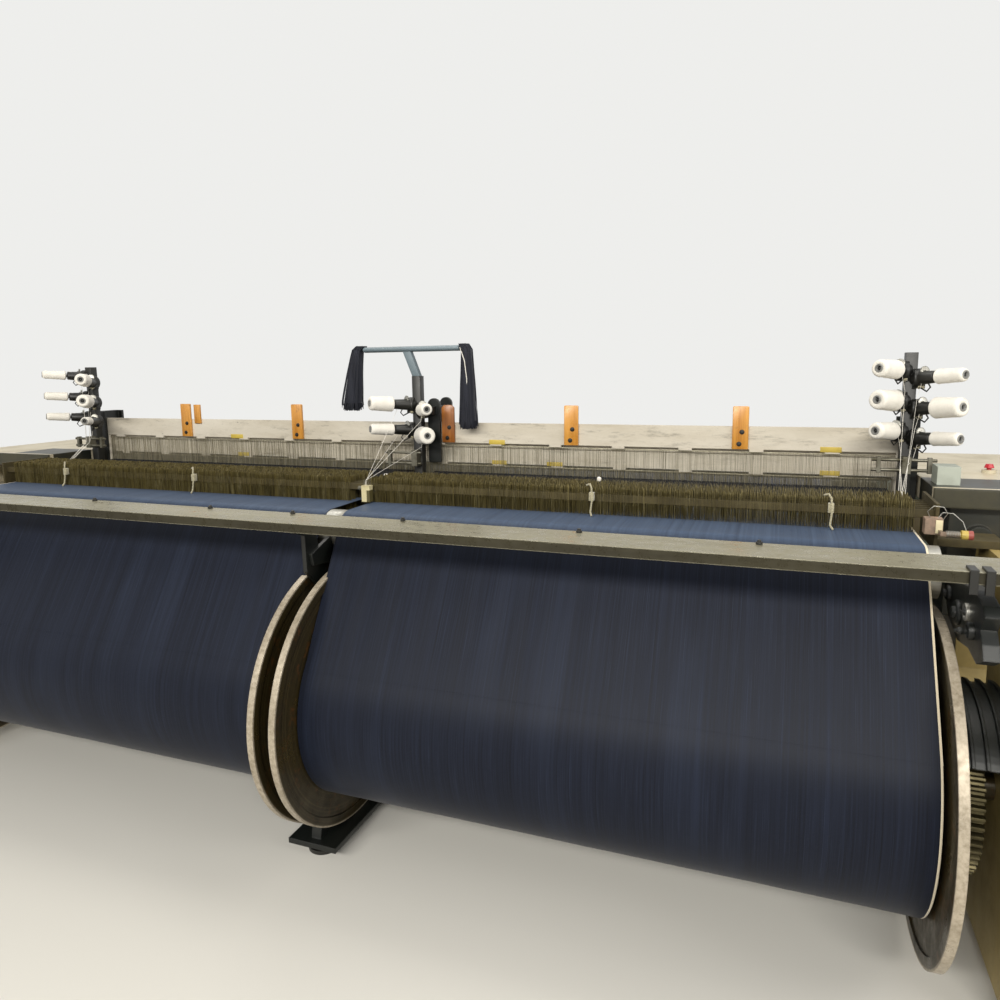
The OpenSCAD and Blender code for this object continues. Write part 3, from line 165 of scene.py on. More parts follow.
def make_world():
    """Pale surroundings: soft fill for the loom, white where the camera or a reflection sees them."""
    world = bpy.data.worlds.new("mill_air")
    world.use_nodes = True
    tree = world.node_tree
    tree.nodes.clear()
    rays = add(tree, "ShaderNodeLightPath").outputs
    seen = rays["Is Camera Ray"]
    for other in ("Is Transmission Ray", "Is Glossy Ray"):
        seen = add(tree, "ShaderNodeMath", {0: seen, 1: rays[other]}, operation="MAXIMUM").outputs[0]
    fill = add(tree, "ShaderNodeBackground", {"Color": (1.0, 0.97, 0.92, 1), "Strength": 0.26})
    backdrop = add(tree, "ShaderNodeBackground", {"Color": (0.93, 0.93, 0.91, 1), "Strength": 0.92})
    mixed = add(tree, "ShaderNodeMixShader", {0: seen, 1: fill.outputs[0], 2: backdrop.outputs[0]})
    add(tree, "ShaderNodeOutputWorld", {"Surface": mixed.outputs[0]})
    bpy.context.scene.world = world


def make_floor():
    """A plain pale floor that keeps the loom's shadow."""
    mesh = bpy.data.meshes.new("mill_floor")
    corners = [(x * FLOOR_HALF, y * FLOOR_HALF, 0) for x, y in ((-1, -1), (1, -1), (1, 1), (-1, 1))]
    mesh.from_pydata(corners, [], [(0, 1, 2, 3)])
    floor = bpy.data.objects.new("mill_floor", mesh)
    bpy.context.scene.collection.objects.link(floor)
    paint = bpy.data.materials.new("pale_floor")
    paint.use_nodes = True
    shader = paint.node_tree.nodes["Principled BSDF"]
    shader.inputs["Base Color"].default_value = colour("d8d6d0")
    shader.inputs["Roughness"].default_value = 0.8
    mesh.materials.append(paint)


bpy.context.scene.view_settings.view_transform = "Standard"
make_world()
make_floor()
for name, lamp in LAMPS.items():
    area_lamp(name, *lamp)

# %% [markdown]
# ## Finishes
# The old machine carries enamel over castings, dusty galvanised sheet, oily steel, lint and miles of indigo
# yarn. Each finish below starts from a bare shader. Patterns read Object coordinates, so they keep their
# real scale on every piece. Roughness and bump come from the same noise as the colour, because on real
# metal dirt is both darker and duller than the paint around it. The Bevel node rounds the shading of sharp
# edges.

# %% Tools for finishes


class Finish:
    """A material in the making, round one Principled shader. Each method adds a node to it."""

    def __init__(self, name, rough=0.5, metal=0.0, edge=0.0, **extra):
        self.material = bpy.data.materials.new(name)
        self.material.use_nodes = True
        self.tree = self.material.node_tree
        self.shader = self.tree.nodes["Principled BSDF"].inputs
        for socket, value in {"Roughness": rough, "Metallic": metal, **extra}.items():
            self.shader[socket.replace("_", " ")].default_value = value
        self.place = self.add("ShaderNodeTexCoord", output="Object")
        self.rounded = self.add("ShaderNodeBevel", {"Radius": edge}, samples=3) if edge else None

    def add(self, kind, inputs=None, output=0, **settings):
        """Any node."""
        return out(self.tree, kind, inputs, output, **settings)

    def calc(self, operation, first, second=0.0):
        """One Math node."""
        return self.add("ShaderNodeMath", {0: first, 1: second}, operation=operation)

    def line(self, value, slope, start):
        """Start plus slope times a value."""
        return self.add("ShaderNodeMath", {0: value, 1: slope, 2: start}, operation="MULTIPLY_ADD")

    def both(self, *masks):
        """Where all the masks are 1."""
        whole = masks[0]
        for mask in masks[1:]:
            whole = self.calc("MULTIPLY", whole, mask)
        return whole

    def noise(self, scale, detail, rough, stretch=None, place=None):
        """Cloudy noise from 0 to 1, longer one way than another where it is stretched."""
        place = self.place if place is None else place
        if stretch:
            place = self.add("ShaderNodeMapping", {"Vector": place, "Scale": stretch})
        sockets = {"Vector": place, "Scale": scale, "Detail": detail, "Roughness": rough}
        return self.add("ShaderNodeTexNoise", sockets, "Fac")

    def band(self, value, low, high, top=1.0):
        """A soft mask that rises from 0 at low to top at high."""
        sockets = {"Value": value, "From Min": low, "From Max": high, "To Max": top}
        return self.add("ShaderNodeMapRange", sockets)

    def mix(self, share, first, second):
        """The first colour where share is 0, the second where it is 1."""
        return self.add("ShaderNodeMix", {0: share, 6: first, 7: second}, 2, data_type="RGBA")

    def axis(self, axis, place=None):
        """One coordinate of a place, or of the piece's own place."""
        return self.add("ShaderNodeSeparateXYZ", {0: self.place if place is None else place}, axis)

    def flatness(self):
        """1 on flat faces, less where the rounded normal leaves the true one, which is at an edge."""
        true = self.add("ShaderNodeNewGeometry", output="Normal")
        return self.add("ShaderNodeVectorMath", {0: self.rounded, 1: true}, "Value", operation="DOT_PRODUCT")

    def done(self, tone, dull, height, depth, metal=None):
        """Links colour, roughness, metal and bump, depth in metres, and returns the material."""
        sockets = {"Height": height, "Distance": depth, "Strength": 1.0}
        if self.rounded is not None:
            sockets["Normal"] = self.rounded
        bumps = self.add("ShaderNodeBump", sockets)
        links = {"Base Color": tone, "Roughness": dull, "Metallic": metal, "Normal": bumps}
        for name, value in links.items():
            if value is not None:
                self.tree.links.new(value, self.shader[name])
        return self.material


# %% [markdown]
# ### Enamel and castings
# Machine enamel is brushed or sprayed on thick, and after years it is chipped to the primer on its edges
# and darkened by oil below. Where the rounded normal leaves the true one there is an edge, and paint wears
# there.

# %% Enamel


def enamel(name, paint, bare, dirt, rough=0.45, chips=0.5, grime=0.55, edge=0.006):
    """Worn machine paint: paint, bare metal or primer, and dirt colours, and how much of each."""
    f = Finish(name, rough, edge=edge)
    cloud, specks = f.noise(9.0, 6.0, 0.65), f.noise(60.0, 5.0, 0.7)
    worn = f.both(f.band(f.flatness(), 0.985, 0.86), f.band(specks, 0.62 - chips * 0.3, 0.7))
    worn = f.calc("MAXIMUM", worn, f.band(specks, 0.78 - chips * 0.06, 0.80 - chips * 0.04))
    runs = f.noise(1.0, 5.0, 0.6, (7.0, 7.0, 0.9))
    soil = f.both(f.band(cloud, 0.42, 0.72), f.band(runs, 0.35, 0.68))
    tone = f.mix(worn, f.mix(f.calc("MULTIPLY", soil, grime), paint, dirt), bare)
    height = f.calc("SUBTRACT", f.calc("MULTIPLY", specks, 0.4), worn)
    return f.done(tone, f.line(cloud, 0.3, rough - 0.12), height, 0.0004)


khaki_enamel = enamel("khaki_enamel", "9d8a55", "4a3d22", "4d4122", grime=0.7)
teal_enamel = enamel("teal_enamel", "9fb0ac", "5d5f55", "4d5048", grime=0.6)
blue_grey_enamel = enamel("blue_grey_enamel", "6a7880", "3c4246", "3d4042", grime=0.4)
motor_enamel = enamel("motor_enamel", "4f6f77", "3a3c38", "2b3230")
dark_casting = enamel("dark_casting", "0f1210", "3c3a31", "0b0b08", 0.36, 0.15, 0.6)
black_oxide = enamel("black_oxide", "151513", "4c4a41", "2b271c", 0.40, 0.25, 0.6, 0.003)

# %% [markdown]
# ### Head covers
# A head cover is cream on top. Its rear skirt faces the warp side and has gone dark olive with oil. Under it,
# inside the cover, the paint is near black: the black housing of the picking or receiving unit, and painted
# shade in the hollow. Both belong to one node, so the place in the loom picks the paint.

# %% Head paint
head_low, head_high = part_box("right_head_case")
UNIT_GAP = 0.050
UNIT_DEPTH = 0.260
UNIT_TOP = head_high.z - 0.0115
UNIT_OUTER = head_low.x + 0.285


def head_paint():
    """Cream cover, olive rear skirt, and inside it the dark housing with painted shade."""
    f = Finish("head_paint", 0.42, edge=0.008)
    x, y, z = (f.axis(i) for i in range(3))
    cloud, specks = f.noise(6.0, 6.0, 0.65), f.noise(48.0, 5.0, 0.7)
    cover = f.mix(f.band(cloud, 0.45, 0.78, 0.6), "c9bfa6", "8f846a")
    cover = f.mix(f.band(specks, 0.66, 0.74, 0.6), cover, "5c533d")
    skirt = f.mix(f.band(cloud, 0.4, 0.7), "3b3827", "24231a")
    housing_and_painted_shade = f.mix(f.band(cloud, 0.42, 0.7), "22241f", "3a3526")
    # Near black inside the cover: the dark housing, with painted shade in the hollow.
    inside = f.both(
        f.calc("GREATER_THAN", y, head_low.y + UNIT_GAP - 0.020),
        f.calc("LESS_THAN", y, head_low.y + UNIT_DEPTH), f.calc("LESS_THAN", z, UNIT_TOP),
        f.calc("LESS_THAN", f.calc("ABSOLUTE", x), UNIT_OUTER),
    )
    rear = f.band(y, head_low.y + 0.016, head_low.y + 0.006)
    tone = f.mix(inside, f.mix(rear, cover, skirt), housing_and_painted_shade)
    return f.done(tone, f.line(cloud, 0.3, 0.28), specks, 0.0003)


head_enamel = head_paint()

# %% [markdown]
# ### Bare metal
# Ground and formed steel keeps the direction of its last tool as fine scratches. Dust and dried oil lie
# over it in patches and take the shine off.

# %% Bare metal


def steel(name, bright, stain, rough=0.34, stains=0.5, grain=(2.0, 60.0, 60.0), metal=0.9):
    """Worked steel with a grain along X unless told otherwise."""
    f = Finish(name, rough, metal, 0.003)
    scratches = f.noise(6.0, 5.0, 0.7, grain)
    soil = f.band(f.noise(7.0, 6.0, 0.65), 0.62 - stains * 0.3, 0.85 - stains * 0.2)
    light = f.mix(0.6, f.mix(f.band(scratches, 0.3, 0.7), stain, bright), bright)
    dull = f.calc("ADD", f.line(soil, 0.25, rough), f.calc("MULTIPLY", scratches, 0.12))
    return f.done(f.mix(soil, light, stain), dull, scratches, 0.00012)


ground_steel = steel("ground_steel", "b9b8b2", "6c675a")
dull_steel = steel("dull_steel", "8f8c80", "4c4838", 0.42, 0.6)
stop_bar_steel = steel("stop_bar_steel", "4f4526", "2c2613", 0.5, 0.7, (2.0, 40.0, 40.0), 0.3)
greased_steel = steel("greased_steel", "5c553d", "241f14", 0.3, 0.8, (30.0, 30.0, 30.0))
reed_steel = steel("reed_steel", "9a9c9c", "5a584e", 0.32, 0.3, (40.0, 40.0, 4.0))

# %% [markdown]
# ### Thread guides
# The rods on the posts are dull steel. The small guide between the sheets is cream plastic with a dark
# side, the block beside the drop wires pinkish plastic, and the spool at its end half yellow and half red.
# The place picks.

# %% Guide finish
GUIDES_BACK = 0.177
SPOOL_START, SPOOL_SPLIT = 2.040, 2.062


def guide_parts():
    """Dull steel rods, cream and pink guide blocks, a yellow and red spool."""
    f = Finish("guide_parts", 0.45, edge=0.003)
    x, y, z = (f.axis(i) for i in range(3))
    cloud, specks = f.noise(14.0, 5.0, 0.65), f.noise(90.0, 5.0, 0.7)
    near = f.calc("LESS_THAN", y, GUIDES_BACK)
    middle = f.both(near, f.calc("LESS_THAN", f.calc("ABSOLUTE", x), 0.1))
    end = f.both(near, f.calc("GREATER_THAN", x, 1.9))
    spool = f.both(end, f.calc("GREATER_THAN", x, SPOOL_START))
    side = f.both(f.calc("GREATER_THAN", x, 0.045), f.calc("LESS_THAN", z, 1.302))
    patches = f.band(cloud, 0.4, 0.7)
    tone = f.mix(patches, "7f7c70", "464232")
    tone = f.mix(middle, tone, f.mix(side, f.mix(patches, "c9bf98", "948862"), "4f4829"))
    tone = f.mix(end, tone, f.mix(f.band(cloud, 0.35, 0.6), "a88d7a", "6f5f50"))
    tone = f.mix(spool, tone, f.mix(f.calc("GREATER_THAN", x, SPOOL_SPLIT), "b39c4c", "8c443c"))
    tone = f.mix(f.band(specks, 0.58, 0.72, 0.5), tone, "3d3929")
    metal = f.line(f.calc("MAXIMUM", middle, end), -0.8, 0.8)
    return f.done(tone, f.line(cloud, 0.3, 0.32), specks, 0.0002, metal)


guide_finish = guide_parts()

# %% [markdown]
# ### The rear rail
# The rail is folded from galvanised sheet. Its top is a dusty beige, and a pale painted highlight runs along
# its folds. Its upright lips are darker: olive with oil, and painted shade because they do not face the light
# from above.

# %% Rail finish


def rail_sheet():
    """Dusty galvanised sheet: pale and lit on top, oily and in painted shade on the upright lips, with
    painted highlights on the folds.
    """
    f = Finish("rail_sheet", 0.42, 0.35, 0.004)
    # The top is painted lighter and the upright lips darker by which way each face points: painted light and
    # shade, with oil on the lips.
    up = f.band(f.axis(2, f.rounded), 0.25, 0.75)
    long_dirt = f.noise(1.0, 6.0, 0.65, (1.6, 16.0, 16.0))
    spots = f.noise(34.0, 5.0, 0.75)
    top = f.mix(f.band(long_dirt, 0.35, 0.7), "8f8a75", "7c7762")
    top = f.mix(f.band(spots, 0.60, 0.80, 0.3), top, "6b6550")
    oily_shaded_lip = f.mix(f.band(long_dirt, 0.35, 0.65), "3a3625", "2c281a")
    # A pale painted highlight along the folds, where the rounded normal leaves the true one.
    tone = f.mix(f.band(f.flatness(), 0.99, 0.9, 0.75), f.mix(up, oily_shaded_lip, top), "c9c4ad")
    return f.done(tone, f.band(spots, 0.2, 0.8, 0.7), spots, 0.0002)


rail_finish = rail_sheet()

# %% [markdown]
# ### Beam flanges
# A flange is brown primer on its face and bare, dusty metal on its rim, where it rolls over the floor and
# rubs on the chain hoist. The distance from the beam axis picks between the two, so the rings stay true
# circles.

# %% Flange finish


def roll_of(node):
    """The axis of a round node as Y and Z, and its radius, from its box."""
    low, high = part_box(node)
    middle = (low + high) / 2
    return middle.y, middle.z, (high.z - low.z) / 2


BEAM_Y, BEAM_Z, FLANGE_R = roll_of("right_beam")
YARN_R = roll_of("right_beam_yarn")[2]
print("flange radius", round(FLANGE_R, 3), "yarn radius", round(YARN_R, 3))


def flange_metal():
    """Brown primer face, turned marks and a bare beige rim."""
    f = Finish("flange_metal", 0.5, 0.25, 0.004)
    centred = f.add(
        "ShaderNodeMapping", {"Vector": f.place, "Location": (0, -BEAM_Y, -BEAM_Z), "Scale": (0, 1, 1)}
    )
    radius = f.add("ShaderNodeVectorMath", {0: centred}, "Value", operation="LENGTH")
    cloud, fine = f.noise(8.0, 7.0, 0.7), f.noise(70.0, 4.0, 0.7)
    rings = f.noise(160.0, 3.0, 0.6, place=f.add("ShaderNodeCombineXYZ", {0: radius}))
    face = f.mix(f.band(cloud, 0.35, 0.7), "3a311b", "201a0e")
    face = f.mix(f.band(rings, 0.5, 0.75, 0.38), face, "7a6e49")
    face = f.mix(f.band(f.noise(22.0, 6.0, 0.75), 0.56, 0.68, 0.8), face, "5a3a1c")
    rim = f.mix(f.band(fine, 0.4, 0.75), "b0a593", "857a67")
    rim = f.mix(f.band(cloud, 0.5, 0.75, 0.6), rim, "665a45")
    tone = f.mix(f.band(radius, FLANGE_R - 0.008, FLANGE_R - 0.004), face, rim)
    return f.done(tone, f.band(cloud, 0.1, 0.9, 0.75), f.calc("ADD", fine, rings), 0.0003)


flange_finish = flange_metal()

# %% [markdown]
# ### Indigo warp
# A denim warp is thousands of parallel ends. Seen from a step away they read as one dark navy surface with
# faint streaks that run along the yarn: some ends are a little paler, some stand proud. The pattern is noise
# that changes fast along X and hardly at all along the yarn. Where the sheet faces up, as over the whip roll,
# a paler blue-grey painted sheen is mixed into the colour. The cream ends of the selvedges are pieces.

# %% Warp finish


def indigo_ends(name, dark, mid, pale, sheen_where_up=True):
    """Parallel indigo yarn: one dark surface, with very fine faint streaks along the ends, and a paler
    painted sheen where it faces up when asked.
    """
    f = Finish(name, 0.55, Sheen_Weight=0.03, Sheen_Roughness=0.4, Specular_IOR_Level=0.12)
    streaks = f.noise(1.0, 4.0, 0.7, (150.0, 0.5, 0.5))
    ends = f.noise(1.0, 3.0, 0.7, (620.0, 3.0, 3.0))
    wide = f.noise(1.0, 3.0, 0.5, (9.0, 1.2, 1.2))
    tone = f.mix(f.band(streaks, 0.30, 0.72), dark, mid)
    tone = f.mix(f.band(ends, 0.56, 0.78, 0.42), tone, pale)
    tone = f.mix(f.band(ends, 0.42, 0.22, 0.35), tone, dark)
    tone = f.mix(f.band(wide, 0.50, 0.80, 0.15), tone, pale)
    if sheen_where_up:
        # A paler blue-grey painted sheen on faces that point up, as over the whip roll.
        facing_up = f.axis(2, f.add("ShaderNodeNewGeometry", output="True Normal"))
        painted_blue_sheen = f.mix(f.band(streaks, 0.3, 0.7), "323e52", "46556c")
        tone = f.mix(f.band(facing_up, 0.72, 0.97), tone, painted_blue_sheen)
    height = f.calc("ADD", ends, f.calc("MULTIPLY", streaks, 0.5))
    return f.done(tone, f.line(streaks, 0.12, 0.42), height, 0.00012)


left_warp_yarn = indigo_ends("left_warp_yarn", "0f121b", "1a1f2d", "39435a")
right_warp_yarn = indigo_ends("right_warp_yarn", "0f121b", "191e2c", "384259")
# The warp in the shed: a darker copy of the same yarn, as painted shade, and without the painted sheen.
shaded_shed_yarn = indigo_ends("shaded_shed_yarn", "0d0f16", "161a25", "2b3242", False)

# %% [markdown]
# ### Staves, wires and wood
# The staves are pale aluminium under a skin of lint and size, with dark smudges where greasy hands hold
# them. Drop wires and heddles are thin steel strips: the tone changes from strip to strip, so the noise
# runs along X. The wooden blocks are varnished hardwood with upright grain.

# %% Stave, wire and wood finishes


def stave_skin():
    """Pale painted aluminium with dark smudges and specks of lint."""
    f = Finish("stave_skin", 0.55, edge=0.002)
    broad = f.noise(1.0, 6.0, 0.7, (1.2, 3.0, 6.0))
    smear = f.noise(1.0, 8.0, 0.8, (4.0, 9.0, 22.0))
    lint = f.noise(1.0, 8.0, 0.85, (16.0, 30.0, 46.0))
    tone = f.mix(f.band(broad, 0.35, 0.7), "d9d2c4", "bdb4a2")
    dark = f.both(f.band(smear, 0.53, 0.64), f.band(broad, 0.4, 0.6), 0.75)
    specks = f.both(f.band(lint, 0.6, 0.66), f.band(smear, 0.44, 0.54), 0.8)
    tone = f.mix(specks, f.mix(dark, tone, "6d695f"), "37352f")
    return f.done(tone, f.band(lint, 0.2, 0.9, 0.85), lint, 0.0006)


def wire_steel(name, shade, light, dust):
    """Thin strips whose tone changes from one to the next, with patches of dust."""
    f = Finish(name, 0.4, 0.45)
    each = f.noise(1.0, 3.0, 0.8, (330.0, 20.0, 1.5))
    along = f.noise(1.0, 5.0, 0.7, (60.0, 60.0, 12.0))
    tone = f.mix(f.band(along, 0.5, 0.72, 0.8), f.mix(f.band(each, 0.35, 0.65), shade, light), dust)
    return f.done(tone, f.band(along, 0.0, 1.0, 0.8), along, 0.0002)


def varnished_wood(name, light, dark):
    """Hardwood with upright grain, dents and a thin varnish."""
    f = Finish(name, 0.38, Coat_Weight=0.25, Coat_Roughness=0.25)
    flow = f.noise(1.0, 6.0, 0.65, (55.0, 55.0, 3.0))
    pores = f.noise(1.0, 3.0, 0.7, (420.0, 420.0, 14.0))
    hands = f.noise(18.0, 5.0, 0.7)
    tone = f.mix(f.band(flow, 0.32, 0.68), light, dark)
    tone = f.mix(f.band(pores, 0.55, 0.75, 0.6), tone, "6e3d12")
    tone = f.mix(f.band(hands, 0.58, 0.74, 0.5), tone, "5b3a1a")
    return f.done(tone, f.band(hands, 0.0, 1.0, 0.7), f.calc("ADD", pores, flow), 0.0003)


stave_finish = stave_skin()
drop_wire_steel = wire_steel("drop_wire_steel", "3a331d", "8a7d4c", "9a9068")
heddle_steel = wire_steel("heddle_steel", "6f6a58", "aca58e", "938c76")
block_wood = varnished_wood("block_wood", "dda04a", "b87a2c")
dark_block_wood = varnished_wood("dark_block_wood", "b06f35", "8a5222")

# %% [markdown]
# ### Yarn, cloth, lint, rubber and plastic
# White cone yarn is matt and slightly fuzzy. Loom-state denim shows a diagonal twill: two waves across each
# other in the cloth's own plane. Rubber and moulded plastic are plain, with dust and a fine grain.

# %% Soft and moulded finishes


def matt_fibre(name, pale, shade, grain=700.0, sheen=0.3):
    """Loose white or coloured fibre."""
    f = Finish(name, 0.85, Sheen_Weight=sheen, Sheen_Roughness=0.5)
    fine, cloud = f.noise(grain, 4.0, 0.7), f.noise(26.0, 4.0, 0.6)
    tone = f.mix(f.band(cloud, 0.58, 0.75, 0.4), f.mix(f.band(fine, 0.3, 0.7), shade, pale), shade)
    return f.done(tone, None, f.calc("ADD", fine, cloud), 0.0006)


def denim_cloth():
    """Raw denim: indigo warp over a pale weft, in a right-hand twill."""
    f = Finish("denim_cloth", 0.8, Sheen_Weight=0.2, Sheen_Roughness=0.5)
    waves = {"Vector": f.place, "Scale": 170.0, "Distortion": 0.6, "Detail": 2.0}
    twill = f.add("ShaderNodeTexWave", waves, "Fac", bands_direction="DIAGONAL")
    slubs = f.noise(1.0, 4.0, 0.7, (260.0, 7.0, 7.0))
    tone = f.mix(f.band(twill, 0.45, 0.9, 0.5), "272c42", "6c7388")
    tone = f.mix(f.band(slubs, 0.45, 0.75, 0.5), tone, "1c2033")
    return f.done(tone, None, f.calc("ADD", twill, slubs), 0.0005)


def moulded(name, tone, dust, rough=0.45, grain=90.0):
    """Moulded plastic or rubber with dust in patches."""
    f = Finish(name, rough, edge=0.002)
    fine, cloud = f.noise(grain, 4.0, 0.6), f.noise(11.0, 5.0, 0.65)
    tone = f.mix(f.band(cloud, 0.45, 0.75, 0.35), tone, dust)
    return f.done(tone, f.line(cloud, 0.3, rough - 0.1), fine, 0.00015)


cone_yarn = matt_fibre("cone_yarn", "f4f1ea", "d4cfc4")
cream_yarn = matt_fibre("cream_yarn", "e6dcc6", "c3b597")
hank_yarn = matt_fibre("hank_yarn", "191d2c", "0b0d16", 900.0, 0.08)
lint_fluff = matt_fibre("lint_fluff", "b9b195", "6f6a52", 240.0, 0.5)
denim = denim_cloth()
core_paper = moulded("core_paper", "8a8a88", "5f5e5a", 0.7)
belt_rubber = moulded("belt_rubber", "2a2928", "5a564c", 0.65)
grip_cover = moulded("grip_cover", "6b5d4a", "8a8272", 0.8, 900.0)
grey_moulding = moulded("grey_moulding", "a9afa4", "6f6f60", 0.5)
red_moulding = moulded("red_moulding", "b3202c", "7a2a28", 0.3)
green_moulding = moulded("green_moulding", "2f8a45", "2c5a34", 0.3)
yellow_moulding = moulded("yellow_moulding", "c9b04a", "8d7a3a", 0.5)
cream_moulding = moulded("cream_moulding", "d8cda9", "8f835e", 0.45)

# %% [markdown]
# ## Finishes on the castings and rolls
# The carried-over construction already has the right form, so each node only needs its finish. A dictionary
# keeps the choice of finish next to the names of the nodes. A second one says which slot each finish of a new
# piece belongs to.

# %% Dress the construction
FINISH_OF = {
    khaki_enamel: "left_side_frame right_side_frame",
    teal_enamel: "cross_girders breast_beam sley",
    head_enamel: "left_head_case right_head_case",
    blue_grey_enamel: "yarn_hanger",
    motor_enamel: "drive_motor flywheel",
    dark_casting: "centre_stand heald_guides gear_guards back_rest_levers",
    black_oxide: "rail_clips levelling_feet left_creel_post centre_creel_post right_creel_post",
    ground_steel: "whip_roll press_roll",
    stop_bar_steel: "warp_stop_bars",
    guide_finish: "yarn_guides",
    dull_steel: "temples",
    greased_steel: "left_beam_gear right_beam_gear left_letoff_pinion right_letoff_pinion motor_pulley",
    reed_steel: "reed",
    rail_finish: "rear_rail",
    flange_finish: "left_beam right_beam",
    left_warp_yarn: "left_beam_yarn left_warp_sheet",
    right_warp_yarn: "right_beam_yarn right_warp_sheet",
    shaded_shed_yarn: "upper_shed_sheet lower_shed_sheet",
    stave_finish: "heald_frame_1 heald_frame_2 heald_frame_3 heald_frame_4",
    drop_wire_steel: "drop_wires",
    heddle_steel: "heddles_1 heddles_2 heddles_3 heddles_4",
    block_wood: "frame_blocks",
    cone_yarn: "left_cones centre_cones right_cones",
    hank_yarn: "yarn_hanks",
    denim: "woven_cloth cloth_roll",
    grip_cover: "take_up_roll",
    belt_rubber: "drive_belt",
    grey_moulding: "control_box",
    red_moulding: "stop_button",
    green_moulding: "start_button",
}
SLOT_OF = {
    left_warp_yarn: "indigo_warp", right_warp_yarn: "indigo_warp", shaded_shed_yarn: "indigo_warp",
    hank_yarn: "indigo_warp", denim: "indigo_cloth", cone_yarn: "cone_yarn", cream_yarn: "cone_yarn",
    core_paper: "cone_yarn", lint_fluff: "cone_yarn", drop_wire_steel: "drop_wire_steel",
    heddle_steel: "heddle_steel", reed_steel: "bright_steel", ground_steel: "bright_steel",
    dull_steel: "bright_steel", black_oxide: "black_steel", dark_casting: "dark_casting",
    khaki_enamel: "frame_paint", blue_grey_enamel: "hanger_paint", motor_enamel: "motor_paint",
    block_wood: "wood", dark_block_wood: "wood", yellow_moulding: "control_plastic",
    cream_moulding: "control_plastic",
}
dressed = 0
for finish, names in FINISH_OF.items():
    for name in names.split():
        node_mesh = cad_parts[name].data
        node_mesh.materials.clear()
        node_mesh.materials.append(finish)
        dressed += 1
print(dressed, "nodes dressed of", len(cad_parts))

# %% [markdown]
# ## Mesh helpers
# Every detailed piece below starts as a list of points and a list of faces, worked out by a short function
# for its kind of form: a block, an outline pushed along X, a turned shape, a round bar along a path. One
# function then makes the object, turns its faces outwards, rounds its edges if asked, and lets it ride on
# its body.

# %% Shapes


def joined(*shapes):
    """Several shapes as one."""
    points, faces = [], []
    for more_points, more_faces in shapes:
        start = len(points)
        points += [tuple(p) for p in more_points]
        faces += [tuple(i + start for i in face) for face in more_faces]
    return points, faces


def block(low, high):
    """A box between two corners."""
    points = [(x, y, z) for z in (low[2], high[2]) for y in (low[1], high[1]) for x in (low[0], high[0])]
    return points, [(0, 2, 3, 1), (4, 5, 7, 6), (0, 1, 5, 4), (2, 6, 7, 3), (0, 4, 6, 2), (1, 3, 7, 5)]


def circle(middle, radius, across, third, count):
    """Points round a middle, in the plane of two unit vectors."""
    angles = [2 * math.pi * i / count for i in range(count)]
    return [middle + radius * (math.cos(a) * across + math.sin(a) * third) for a in angles]


def tube_faces(rings, sides):
    """Faces of a tube of rings of points, closed at both ends."""
    faces = []
    for i in range(rings - 1):
        for k in range(sides):
            a, b = i * sides + k, i * sides + (k + 1) % sides
            faces.append((a, b, b + sides, a + sides))
    last = (rings - 1) * sides
    return [*faces, tuple(range(sides))[::-1], tuple(range(last, last + sides))]


def pushed(outline, x0, x1):
    """A closed YZ outline pushed along X."""
    return [(x, y, z) for x in (x0, x1) for y, z in outline], tube_faces(2, len(outline))


def pushed_back(outline, y0, y1):
    """A closed XZ outline pushed along Y."""
    return [(x, y, z) for y in (y0, y1) for x, z in outline], tube_faces(2, len(outline))


def turned(profile, centre, axis=(1, 0, 0), steps=32):
    """Stations and radii turned about an axis through centre. A radius of 0 closes a pole."""
    along = Vector(axis).normalized()
    across = along.orthogonal().normalized()
    points, rings, faces = [], [], []
    for station, radius in profile:
        count = 1 if radius < 1e-6 else steps
        rings.append([len(points) + i for i in range(count)])
        points += circle(Vector(centre) + along * station, radius, across, along.cross(across), count)
    for ring, following in zip(rings, rings[1:]):
        for i in range(steps):
            corners = [ring[i % len(ring)], ring[(i + 1) % len(ring)]]
            corners += [following[(i + 1) % len(following)], following[i % len(following)]]
            face = tuple(dict.fromkeys(corners))
            if len(face) > 2:
                faces.append(face)
    return points, faces


def rod(start, end, radius):
    """The profile of a plain rod, for turning."""
    return [(start, 0), (start, radius), (end, radius), (end, 0)]


def round_bar(path, radius, sides=8):
    """A bar with round section along a path, closed at both ends."""
    path = [Vector(p) for p in path]
    across = (path[1] - path[0]).normalized().orthogonal().normalized()
    points = []
    for i, middle in enumerate(path):
        ahead = (path[min(i + 1, len(path) - 1)] - path[max(i - 1, 0)]).normalized()
        across = (across - ahead * across.dot(ahead)).normalized()
        points += circle(middle, radius, across, ahead.cross(across), sides)
    return points, tube_faces(len(path), sides)


# %% [markdown]
# ### From a shape to a piece
# One function puts a mesh in the scene with its finish and body, one makes the mesh, one does both. It also
# picks a slot from the table above unless a piece names its own.

# %% Pieces


def show(name, mesh, finish, body=None, stands_for=(), crease=35, slot=None):
    """Puts a mesh in the scene as a named piece with its finish. A piece without a body stays loose."""
    slot = slot or SLOT_OF[finish]
    mesh.name = name
    mesh.materials.clear()
    mesh.materials.append(finish)
    mesh.shade_smooth()
    mesh.set_sharp_from_angle(angle=math.radians(crease))
    piece = bpy.data.objects.new(name, mesh)
    bpy.context.scene.collection.objects.link(piece)
    if body:
        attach(piece, body)
    if stands_for:
        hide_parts(*stands_for)
    return piece


